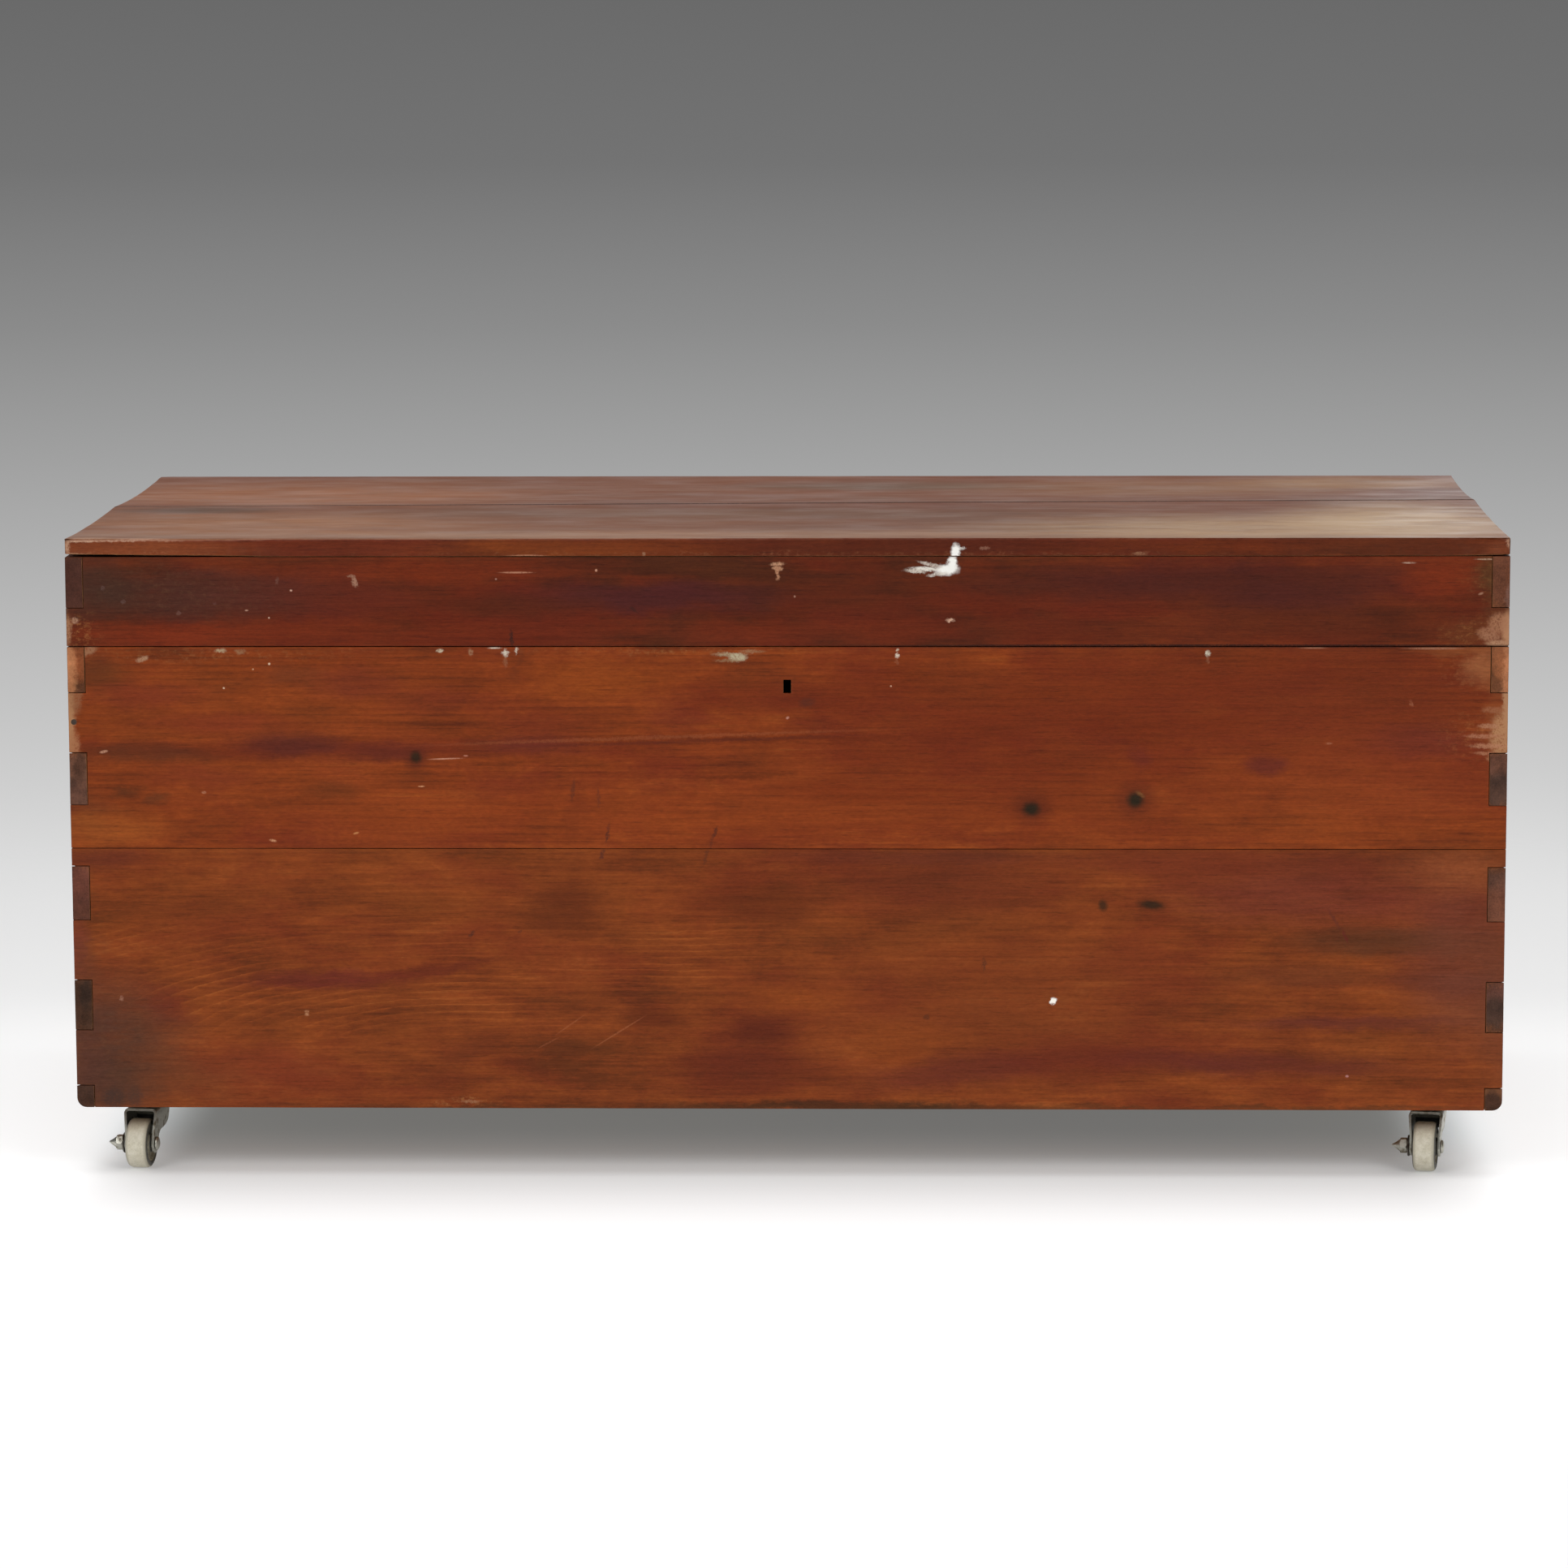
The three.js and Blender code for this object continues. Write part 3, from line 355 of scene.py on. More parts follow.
    roughness = remap(woodNoise("gloss"), *look["glossRange"], *look["gloss"])
    if chipped is not None:  # bare wood and paint are dull
        roughness = calc("MAXIMUM", roughness, times(chipped, look["chipRoughness"]))
    height = minus(lines, times(pores, 0.35))
    surface({"Base Color": colour, "Roughness": roughness, "Specular IOR Level": look["specular"]},
            height, look["reliefDepth"], look["relief"])
    return material


# End grain: close speckle with ring arcs, darkened with old finish. Noises: scale, detail, roughness.
endGrain = {
    "speckle": (900, 3, 0.7), "cloud": (120, 3, 0.5), "drift": (160, 5, 0.65), "blotch": (75, 4, 0.6),
    "heart": (0.9, 0.2, 0), "ring": 3.2, "ringShade": 0.12, "stray": (12, 12), "edge": 0.4,
    "toneRange": (0.3, 0.62), "dirt": (0.36, 0.64, 0.62, 1.4), "warmth": (1, 0.92, 0.82),
    "gloss": (0.3, 0.7, 0.6, 0.85), "specular": 0.1, "relief": 0.6, "reliefDepth": 0.0005,
}


def endGrainMaterial(name, look):
    material = newMaterial(name)
    place, _, _, flat = faceAxes(look["plane"])
    speckle, cloud = [noiseValue(place, *endGrain[key]) for key in ("speckle", "cloud")]
    heart = vectorCalc("DISTANCE", flat, endGrain["heart"])
    ring = calc("FRACT", calc("DIVIDE", heart, endGrain["ring"] * mm))
    tone = plus(times(speckle, 0.5), times(cloud, 0.5))
    tone = minus(tone, times(calc("POWER", ring, 2.0), endGrain["ringShade"]))
    colour = toneRamp(tone, *endGrain["toneRange"], look["tones"])
    drifted = nudged(flat, scattered(place, *endGrain["drift"]), *endGrain["stray"])
    colour = paintMarks(colour, look.get("stains", []), drifted, endGrain["edge"])
    blotch = noiseValue(place, *endGrain["blotch"])
    uneven = plus(times(blotch, 0.65), times(speckle, 0.35))
    uneven = remap(uneven, *endGrain["dirt"])
    shades = {i: times(uneven, share) for i, share in enumerate(endGrain["warmth"])}
    colour = tinted(colour, addNode("CombineColor", shades).outputs[0])
    roughness = remap(cloud, *endGrain["gloss"])
    surface({"Base Color": colour, "Roughness": roughness, "Specular IOR Level": endGrain["specular"]},
            speckle, endGrain["reliefDepth"], endGrain["relief"])
    return material


# The boards' looks. Stains are soft and chips are crisp.

frontUpperLook = {
    "plane": "XZ", "zones": 5, "shift": (0.31, 0.2, 0.17), "varnish": (1.0, 0.885, 0.51),
    "tones": [(92, 40, 23), (112, 51, 26), (126, 58, 28), (138, 66, 32), (150, 78, 38)],
    "mottle": 1.2, "threads": 0.62, "ring": 6, "ringShade": -0.2, "ringPower": 4, "wander": 0.012,
    "stains": [
        (-548, 412, 26, 14, (78, 46, 32), 0.8), (-395, 410, 18, 8, (88, 44, 34), 0.8),
        (-440, 375, 120, 60, (146, 74, 36), 0.35), (-370, 351, 210, 7, (104, 40, 27), 0.7),
        (-510, 347, 54, 7.5, (82, 43, 32), 0.75), (-396, 355, 34, 10, (80, 36, 38), 0.8),
        (-318, 350, 30, 7, (90, 39, 38), 0.65), (-345, 404, 30, 11, (100, 42, 38), 0.55),
        (-512, 396, 44, 9, (108, 42, 38), 0.55), (-452, 372, 60, 7, (112, 44, 34), 0.5),
        (-470, 330, 46, 8, (110, 46, 34), 0.5), (-280, 392, 40, 10, (108, 44, 34), 0.5),
        (-213, 355, 42, 8, (90, 38, 42), 0.65), (-532, 316, 11, 5, (72, 42, 30), 0.8),
        (-508, 309, 9, 5, (84, 50, 36), 0.7), (-560, 300, 16, 14, (104, 60, 40), 0.5),
        (-364, 317, 20, 7, (96, 50, 28), 0.6), (-30, 395, 60, 14, (104, 40, 26), 0.7),
        (15, 391, 28, 9, (96, 38, 26), 0.6), (21, 370, 16, 9, (98, 38, 30), 0.6),
        (-90, 376, 22, 8, (104, 42, 34), 0.5), (-190, 372, 40, 12, (106, 44, 30), 0.6),
        (-148, 408, 50, 16, (142, 72, 28), 0.6), (90, 400, 60, 14, (112, 48, 24), 0.5),
        (-60, 300, 240, 20, (140, 66, 30), 0.5), (60, 318, 60, 10, (112, 46, 20), 0.5),
        (404, 311, 175, 34, (142, 70, 34), 0.5), (455, 396, 125, 42, (100, 40, 26), 0.75),
        (300, 402, 110, 32, (108, 44, 24), 0.6), (200, 378, 70, 12, (108, 44, 22), 0.5),
        (507, 357, 40, 12, (94, 41, 46), 0.75), (340, 370, 90, 8, (110, 46, 24), 0.5),
        (556, 419, 15, 13, (152, 98, 78), 0.75), (536, 430, 30, 3, (132, 80, 58), 0.45),
        (563, 380, 8, 36, (132, 74, 50), 0.6), (0, 359, 128, 2.4, (88, 36, 18), 0.7),
        (150, 363, 40, 3, (96, 38, 20), 0.5), (-33, 330, 36, 2, (82, 36, 16), 0.65),
        (100, 333, 50, 1.4, (96, 40, 20), 0.5), (384, 339, 13, 7, (82, 37, 46), 0.9),
        (282, 345, 10, 7, (92, 38, 46), 0.7), (-545, 286, 42, 13, (150, 84, 42), 0.6),
        (180, 350, 190, 60, (104, 40, 22), 0.6), (470, 340, 90, 40, (118, 50, 32), 0.5),
        (-218, 420, 3, 14, (92, 44, 30), 0.5), (-170, 300, 6, 24, (104, 46, 26), 0.35),
    ],
    "knots": [
        (196.5, 304, 15, 12, (92, 40, 26), 0.75), (196.5, 303, 6.4, 5.4, (38, 32, 26), 0.97),
        (279.5, 310, 15, 14, (96, 42, 28), 0.7), (279.5, 310.5, 6.2, 6, (38, 34, 28), 0.97),
        (283.5, 315, 3.6, 1.6, (124, 86, 62), 0.6, -35), (-296, 344, 9, 8, (88, 38, 30), 0.7),
        (-296, 344.5, 4.2, 4.6, (46, 32, 24), 0.95),
    ],
    "dust": [
        (-450, 428, 110, 5, (160, 122, 96), 0.3), (551, 416, 24, 16, (168, 118, 92), 0.35),
        (548, 362, 22, 16, (176, 120, 88), 0.35), (-100, 430, 90, 3.5, (160, 120, 92), 0.4),
    ],
    "chips": [
        (-110, 360.5, 160, 1.4, (150, 82, 48), 0.4, 2), (-80, 357.5, 130, 1.4, (84, 34, 22), 0.45, 2),
        (-574.5, 388, 4.6, 50, (166, 118, 82), 1.0), (-571, 352, 5, 12, (160, 106, 72), 0.9),
        (-569, 396, 5, 16, (138, 92, 62), 0.8), (574.5, 395, 3.6, 38, (168, 122, 88), 1.0),
        (570, 362, 8.5, 18, (172, 124, 86), 0.95), (560, 370, 8, 2, (170, 118, 88), 0.8),
        (556, 362, 14, 1.5, (168, 112, 84), 0.75), (560, 354, 14, 1.8, (172, 118, 88), 0.8),
        (558, 348, 9, 1.4, (168, 114, 84), 0.7), (568, 344, 8, 3, (184, 136, 98), 0.9),
        (563, 383, 8, 2.4, (150, 96, 66), 0.7), (-558, 430.5, 8, 3.4, (152, 108, 78), 0.8, 25),
        (-514, 424, 4.4, 1.9, (168, 128, 98), 0.9, 20), (-517, 422.6, 2.4, 1.3, (158, 116, 88), 0.8, -20),
        (-451, 430.6, 4, 1.6, (176, 154, 122), 0.8), (-436, 430, 4, 2, (150, 116, 84), 0.6),
        (-275.5, 430.6, 2.6, 1.3, (192, 174, 148), 0.9), (-251, 429.5, 2, 2.6, (158, 122, 92), 0.6),
        (-223.4, 428.8, 2.2, 2.8, (206, 194, 176), 0.95), (-223.4, 422, 1.4, 5, (150, 104, 76), 0.4),
        (-214.3, 430.4, 1.3, 2.6, (200, 186, 168), 0.9), (-231.8, 432.7, 5, 0.6, (204, 190, 172), 0.9),
        (-43.5, 427.6, 12, 1.5, (164, 148, 118), 0.8), (-38, 425, 6.5, 3, (180, 168, 138), 0.95),
        (-46, 422.6, 9, 1.3, (146, 116, 84), 0.6), (-26, 430, 9, 1.3, (150, 118, 88), 0.6),
        (89.4, 426.6, 1.4, 2, (216, 200, 180), 0.9), (89.4, 431.4, 1.4, 1.3, (196, 176, 154), 0.8),
        (89.4, 421.5, 1.3, 2, (150, 100, 74), 0.5), (336.3, 427.8, 2, 2.6, (196, 186, 166), 0.95),
        (336.3, 423, 1.4, 3, (146, 96, 68), 0.5), (-412.5, 420, 0.9, 0.9, (220, 190, 160), 0.9),
        (-425.6, 415.6, 0.7, 0.7, (196, 156, 120), 0.8), (-449.4, 400.5, 0.8, 0.8, (220, 190, 160), 0.9),
        (-292, 321, 2.4, 0.6, (206, 146, 104), 0.8), (-467, 316, 1.8, 1, (180, 122, 90), 0.8),
        (-412, 277, 2.6, 1, (204, 146, 106), 0.85, -12), (-345, 283, 2.2, 0.8, (190, 126, 76), 0.8, 15),
        (-547, 349, 3, 1.1, (182, 132, 104), 0.9, 12), (-272, 343.4, 12, 0.6, (188, 130, 104), 0.9, 2),
        (-256, 345.8, 2, 0.6, (188, 124, 100), 0.8), (-143, 281, 1.4, 5, (66, 34, 26), 0.7, -14),
        (-141.5, 288, 1.3, 4, (84, 40, 26), 0.5, -8), (-57, 283, 1.4, 5.5, (66, 34, 24), 0.7, -24),
        (-60, 274, 1.3, 4, (80, 38, 26), 0.5, -8), (-170, 318, 1.3, 9, (84, 42, 26), 0.6, -6),
        (-150, 312, 1.3, 8, (90, 44, 28), 0.5, 4), (84.5, 402, 0.7, 0.7, (206, 160, 130), 0.9),
        (2, 376.5, 1.3, 1, (196, 140, 120), 0.7, 30), (330, 433.2, 250, 0.6, (50, 24, 18), 0.7),
        (420, 432.6, 10, 0.5, (168, 118, 92), 0.7), (516, 432.2, 22, 0.8, (160, 112, 86), 0.7),
        (498, 388, 1.3, 3, (150, 90, 62), 0.6, 20), (433, 356, 2.6, 0.8, (160, 100, 70), 0.6),
        (17.6, 389, 6, 4, (70, 40, 30), 0.45),
    ],
}

frontLowerLook = {
    "plane": "XZ", "zones": 4, "shift": (0.77, 0.4, 0.63), "varnish": (1.0, 0.895, 0.53),
    "tones": [(94, 46, 25), (112, 54, 28), (124, 62, 31), (134, 68, 34), (144, 78, 42)],
    "mottle": 1.2, "threads": 0.6, "redness": 0.45, "ring": 5.5, "ringShade": 0.48, "ringPower": 5,
    "apex": (-250, 88), "squeeze": 0.3, "wander": 0.02, "waver": 0.007,
    "ringZone": (-310, 178, 300, 56, 0, 1.0),
    "stains": [
        (-556, 263, 36, 9, (96, 44, 36), 0.75), (-378, 163, 60, 6.5, (96, 36, 38), 0.85),
        (-300, 169, 34, 5, (92, 34, 28), 0.75, 8), (-256, 176, 24, 3.5, (92, 36, 28), 0.6, 14),
        (-503, 141, 18, 15, (108, 36, 28), 0.75), (-433, 96, 50, 14, (112, 44, 34), 0.65),
        (-400, 82, 30, 10, (108, 40, 28), 0.5), (-20, 122, 28, 12, (82, 32, 24), 0.95),
        (-28, 92, 58, 17, (94, 38, 26), 0.85), (-110, 132, 22, 9, (86, 38, 20), 0.6),
        (151, 92, 80, 12, (92, 37, 38), 0.85, 8), (243, 102, 72, 20, (100, 38, 26), 0.7),
        (373, 96, 104, 9, (88, 36, 38), 0.85, -2), (459.5, 129.5, 80, 5, (90, 42, 44), 0.7),
        (524, 163, 44, 7, (100, 48, 38), 0.6), (481, 196, 62, 10, (82, 50, 38), 0.85),
        (420, 168, 70, 8, (100, 52, 34), 0.6), (540, 180, 40, 60, (104, 58, 54), 0.75),
        (430, 232, 110, 22, (108, 50, 48), 0.65), (130, 240, 90, 22, (100, 42, 30), 0.65),
        (170, 150, 130, 50, (104, 48, 28), 0.45), (-178, 219, 34, 16, (86, 40, 22), 0.7),
        (-10, 222, 40, 14, (92, 42, 24), 0.6), (-548, 112, 52, 46, (78, 50, 47), 0.95),
        (-552, 76, 34, 22, (72, 48, 46), 0.9), (-492, 82, 40, 20, (96, 54, 38), 0.5),
        (-572, 190, 9, 22, (108, 50, 56), 0.75), (-576, 104, 26, 44, (80, 48, 48), 0.9),
        (576, 150, 22, 60, (96, 54, 50), 0.6), (-565, 175, 12, 26, (100, 56, 42), 0.6),
        (-177, 226, 26, 18, (98, 46, 24), 0.75), (-25, 228, 46, 11, (100, 46, 24), 0.7),
        (-300, 225, 60, 9, (108, 54, 26), 0.5), (14, 149, 46, 11, (138, 70, 30), 0.55),
        (90, 112, 40, 14, (132, 66, 28), 0.5), (534, 255, 38, 14, (138, 76, 54), 0.65),
        (115, 264, 95, 6, (98, 46, 38), 0.65), (330, 260, 110, 10, (108, 48, 34), 0.6),
        (450, 258, 60, 12, (104, 46, 36), 0.5), (57, 60, 150, 4, (52, 36, 26), 0.9),
        (-200, 59, 220, 2, (76, 44, 28), 0.7), (380, 59, 180, 1.8, (84, 50, 32), 0.7),
        (-255, 108, 26, 8, (98, 46, 28), 0.6, 20), (-278, 83, 22, 8, (100, 44, 26), 0.6),
        (-470, 222, 50, 9, (112, 56, 28), 0.5),
    ],
    "knots": [
        (254, 225, 3.4, 4.4, (60, 38, 26), 0.9), (293, 225.5, 13, 6, (98, 44, 26), 0.6),
        (293, 225.5, 9.4, 3.4, (50, 34, 24), 0.95, -6),
    ],
    "dust": [
        (-540, 110, 40, 40, (120, 86, 70), 0.18), (535, 250, 40, 20, (150, 96, 72), 0.2),
        (-260, 64, 24, 3, (168, 122, 90), 0.6),
    ],
    "chips": [
        (113, 134, 2.2, 2, (76, 40, 22), 0.7), (159, 177, 1.4, 5, (76, 40, 24), 0.7),
        (214.5, 146.9, 2.4, 2.5, (246, 240, 230), 1.0), (-387, 136, 1.6, 2.2, (176, 124, 88), 0.85),
        (-537, 147.5, 1.4, 1.8, (150, 104, 84), 0.8), (450.5, 86, 1.3, 1, (178, 122, 116), 0.8),
        (-147, 266, 1.5, 4.4, (70, 36, 30), 0.6, -20), (-64, 264, 1.3, 6, (74, 38, 26), 0.5, -14),
        (-253, 201, 1.4, 3, (72, 38, 26), 0.8, -30), (-214, 203, 2, 1, (84, 44, 28), 0.6, 30),
        (-135, 121, 0.6, 22, (158, 92, 56), 0.5, -58), (-174, 127, 0.6, 13, (156, 90, 54), 0.45, -55),
        (-192, 112, 0.6, 9, (150, 86, 52), 0.4, -62), (-255, 63.5, 7, 1.3, (152, 108, 78), 0.7),
        (-545, 66, 9, 8, (58, 42, 36), 0.7), (-528, 66, 6, 9, (66, 46, 38), 0.6),
        (439, 214, 1.3, 9, (84, 40, 32), 0.5, 30), (448, 200, 1.3, 6, (96, 30, 26), 0.6, 24),
    ],
}

lidFrontLook = {
    "plane": "XZ", "zones": 4, "shift": (0.12, 0.8, 0.05), "varnish": (1.0, 0.825, 0.44),
    "tones": [(68, 32, 24), (84, 38, 25), (96, 42, 26), (108, 48, 28), (120, 56, 32)], "redTone": (96, 34, 24),
    "mottle": 1.2, "threads": 0.6, "ring": 8, "wander": 0.012,
    "stains": [
        (-500, 476, 88, 19, (66, 41, 43), 0.95), (-555, 480, 30, 24, (64, 44, 46), 0.8),
        (-400, 476, 80, 16, (80, 41, 44), 0.8), (-492, 443, 92, 8, (118, 48, 28), 0.85),
        (-330, 446, 90, 9, (110, 46, 26), 0.6), (-335, 473, 66, 14, (98, 38, 26), 0.5),
        (-270, 494, 110, 8, (112, 46, 26), 0.65), (-103, 474, 90, 11, (70, 33, 44), 0.9),
        (-90, 478, 60, 6, (76, 33, 44), 0.6), (-220, 466, 60, 8, (76, 36, 26), 0.6),
        (-20, 446, 150, 9, (108, 46, 28), 0.6), (60, 480, 90, 18, (84, 38, 24), 0.5),
        (344, 485, 150, 15, (66, 31, 38), 0.9), (400, 470, 60, 10, (68, 31, 40), 0.8),
        (262, 462, 44, 6, (112, 38, 26), 0.65), (180, 470, 50, 8, (104, 38, 24), 0.5),
        (150, 446, 90, 8, (100, 42, 26), 0.5), (440, 452, 90, 14, (90, 40, 26), 0.65),
        (300, 462, 170, 30, (80, 36, 26), 0.35), (520, 488, 26, 14, (118, 48, 26), 0.8),
        (566, 490, 14, 18, (82, 60, 44), 0.85), (566, 466, 10, 12, (84, 52, 42), 0.7),
        (548, 446, 20, 12, (100, 58, 40), 0.7),
    ],
    "dust": [
        (-505, 480, 62, 18, (104, 80, 74), 0.28), (-440, 470, 60, 16, (100, 72, 66), 0.18),
        (560, 486, 18, 18, (140, 106, 82), 0.35), (552, 444, 24, 12, (172, 126, 96), 0.4),
        (-566, 446, 12, 12, (170, 122, 92), 0.8),
    ],
    "chips": [
        (574, 448, 5, 13, (172, 124, 90), 1.0), (567, 452, 8, 8, (160, 110, 80), 0.9),
        (558, 445, 8, 4, (156, 106, 78), 0.75), (560, 441, 8, 3, (156, 108, 80), 0.8),
        (566, 436, 9, 2.4, (176, 132, 100), 0.85), (-574.5, 447, 3.4, 11, (158, 112, 80), 0.95),
        (-568, 455, 2.6, 2.4, (172, 130, 104), 0.8), (-574.5, 480, 1.3, 20, (112, 82, 64), 0.7),
        (133.5, 500.5, 3.6, 6, (244, 242, 236), 1.0), (129, 495.4, 8.5, 4, (244, 242, 236), 1.0, 4),
        (112, 496, 11, 1.5, (228, 222, 210), 0.95, -3), (104, 494.2, 8, 1.3, (214, 204, 190), 0.85, -4),
        (116, 499.4, 9, 1.3, (206, 194, 180), 0.8, -14), (122, 491.6, 8, 1.3, (216, 208, 196), 0.85, 8),
        (-5.6, 499.8, 5.2, 1.4, (188, 140, 108), 0.95), (-5.6, 496.4, 4.2, 1.6, (184, 134, 102), 0.9),
        (-5.6, 492.4, 1.6, 4.4, (182, 130, 98), 0.9), (131.5, 455, 3, 1.4, (206, 164, 138), 0.95),
        (-343, 486, 2, 4.2, (160, 118, 96), 0.9, 14), (-345.5, 490.5, 2.6, 1.3, (154, 114, 92), 0.85),
        (-405, 487, 1.3, 3, (112, 74, 62), 0.6, -10), (-213.6, 493.3, 12, 0.7, (178, 124, 96), 0.85),
        (-150, 495, 1, 1, (200, 146, 118), 0.9), (-394, 479, 1, 0.8, (200, 156, 134), 0.95),
        (-430, 463, 1.4, 0.6, (180, 138, 116), 0.8), (-412, 457, 0.7, 0.7, (210, 174, 150), 0.9),
        (-484, 461, 2.4, 1.3, (118, 84, 74), 0.4), (-455, 469, 1.3, 1.3, (112, 78, 72), 0.35),
        (-529, 470, 1.3, 1.4, (104, 82, 76), 0.4), (-545, 481, 1.3, 2, (104, 80, 74), 0.4),
        (8, 474, 0.7, 0.8, (186, 142, 120), 0.85), (-230, 488, 0.8, 0.8, (170, 126, 108), 0.8),
        (495, 500.6, 5, 0.7, (172, 138, 118), 0.85), (556, 503.4, 8, 0.7, (166, 134, 110), 0.85),
        (552, 476, 2, 0.9, (158, 114, 90), 0.8, 20), (330, 434.8, 250, 0.8, (40, 20, 16), 0.85),
        (-218, 440, 1.3, 7, (48, 28, 22), 0.85, 3), (-120, 463, 1.3, 4.4, (56, 28, 22), 0.7, 50),
    ],
}

slabEdgeLook = {
    "plane": "XZ", "shift": (0.5, 0.3, 0.9), "varnish": (0.96, 0.8, 0.6), "ring": 5, "wander": 0.01,
    "tones": [(78, 34, 21), (94, 42, 24), (106, 50, 27), (118, 58, 32)], "redness": 0.35,
    "arrisWear": 0.35, "wornTone": (150, 104, 84),
    "stains": [
        (-510, 512, 80, 8, (132, 74, 46), 0.8), (-328, 512, 70, 8, (104, 48, 30), 0.6),
        (-179, 512, 90, 8, (126, 66, 28), 0.8), (-100, 512, 60, 8, (124, 64, 28), 0.6),
        (80, 514, 190, 8, (82, 34, 20), 0.8), (350, 513, 120, 6, (102, 46, 20), 0.7),
        (400, 508, 110, 3, (72, 34, 20), 0.6), (490, 512, 80, 8, (82, 40, 22), 0.8),
        (566, 512, 12, 8, (118, 66, 44), 0.9),
    ],
    "dust": [(-520, 507, 60, 3, (176, 136, 108), 0.6), (0, 507, 300, 2.4, (160, 116, 90), 0.4)],
    "chips": [
        # the first four chips, at the left end along the top arris, are worn wood lightened further by a
        # painted highlight
        (-560, 519, 15, 1.5, (186, 148, 122), 0.9), (-531, 519.4, 18, 1.3, (178, 138, 114), 0.8),
        (-496, 519.8, 20, 1.3, (168, 124, 100), 0.6), (-573, 514, 2.4, 5, (180, 138, 110), 0.9),
        (573.5, 517, 2, 4, (176, 132, 106), 0.8), (136, 509, 3.3, 6.4, (244, 242, 236), 1.0),
        (141, 512.4, 3, 1.4, (232, 228, 220), 0.6), (159, 512.4, 3.4, 1.3, (156, 112, 92), 0.5),
        (-568, 508, 9, 1.3, (176, 130, 100), 0.7), (-205, 506.8, 14, 0.7, (172, 120, 92), 0.8),
        (282, 508, 5, 1.3, (150, 108, 80), 0.6), (-112, 508, 1.6, 1.3, (150, 110, 84), 0.7),
    ],
}

topLook = {
    "plane": "XY", "shift": (0.2, 0.1, 0.4), "varnish": (1.0, 0.94, 0.68),
    "tones": [(84, 44, 30), (100, 54, 35), (112, 63, 42), (124, 73, 50), (136, 86, 62)],
    "redness": 0.4, "redTone": (104, 52, 36), "brownTone": (106, 76, 50),
    "arrisWear": 0.25, "wornTone": (150, 112, 92),
    "mottle": 0.45, "bands": 0.22, "threads": 0.25, "streaks": 0.1, "pores": 0.12,
    "ring": 13, "ringShade": -0.1, "gloss": (0.36, 0.5), "specular": 0.2, "relief": 0.3,
    "stains": [
        (0, 140, 640, 120, (118, 66, 40), 0.55), (-430, 110, 190, 100, (156, 96, 60), 0.75),
        (-250, 200, 200, 40, (118, 68, 44), 0.5), (80, 190, 120, 30, (98, 86, 80), 0.55),
        (330, 170, 150, 60, (140, 98, 72), 0.6), (480, 210, 90, 40, (156, 120, 96), 0.7),
        # on the front board, the pale patches at (0, -130), (0, -236), (380, -180) and (500, -110) are painted
        # sheen: a painted reflection, palest along the front edge and to the right
        (0, -130, 620, 100, (124, 84, 68), 0.5), (0, -236, 700, 36, (158, 122, 110), 0.7),
        (-430, -140, 150, 80, (158, 108, 80), 0.7), (-500, -34, 60, 20, (78, 58, 50), 0.8),
        (-100, -60, 220, 36, (112, 80, 68), 0.6), (380, -180, 180, 90, (180, 152, 134), 0.65),
        (500, -110, 80, 110, (190, 164, 146), 0.65),
    ],
    "chips": [
        # the two pale chips at the front left edge are worn wood, lightened further by a painted highlight
        # along the arris
        (0, 18.2, 900, 4.4, (46, 28, 22), 0.9, 2.55), (-556, -264, 18, 4, (184, 148, 124), 0.75),
        (-515, -267, 22, 2.4, (176, 138, 116), 0.6),
    ],
}

sideLook = {
    "plane": "YZ", "shift": (0.6, 0.15, 0.35),
    "tones": [(76, 38, 24), (98, 50, 29), (114, 60, 33), (128, 72, 42)],
    "mottle": 0.45, "bands": 0.5, "redness": 0.35, "gloss": (0.46, 0.62),
    "stains": [
        (-240, 140, 40, 90, (74, 44, 32), 0.6), (240, 120, 40, 80, (74, 44, 32), 0.5),
        (-30, 90, 120, 26, (88, 40, 30), 0.5), (60, 350, 130, 30, (96, 44, 32), 0.5),
    ],
    "chips": [(-269, 390, 6, 46, (162, 112, 78), 0.9), (-262, 372, 7, 14, (150, 100, 68), 0.8)],
}

backLook = {
    "plane": "XZ", "shift": (0.9, 0.55, 0.21),
    "tones": [(82, 42, 26), (104, 54, 30), (118, 64, 35), (132, 76, 44)],
    "mottle": 0.45, "bands": 0.5, "redness": 0.35, "ring": 8, "wander": 0.025, "gloss": (0.48, 0.64),
    "stains": [
        (-380, 120, 150, 30, (92, 42, 32), 0.5), (150, 180, 180, 26, (98, 44, 30), 0.5),
        (420, 360, 120, 34, (90, 40, 32), 0.5), (-100, 380, 150, 24, (124, 70, 38), 0.4),
        (0, 62, 560, 5, (56, 36, 28), 0.6),
    ],
}

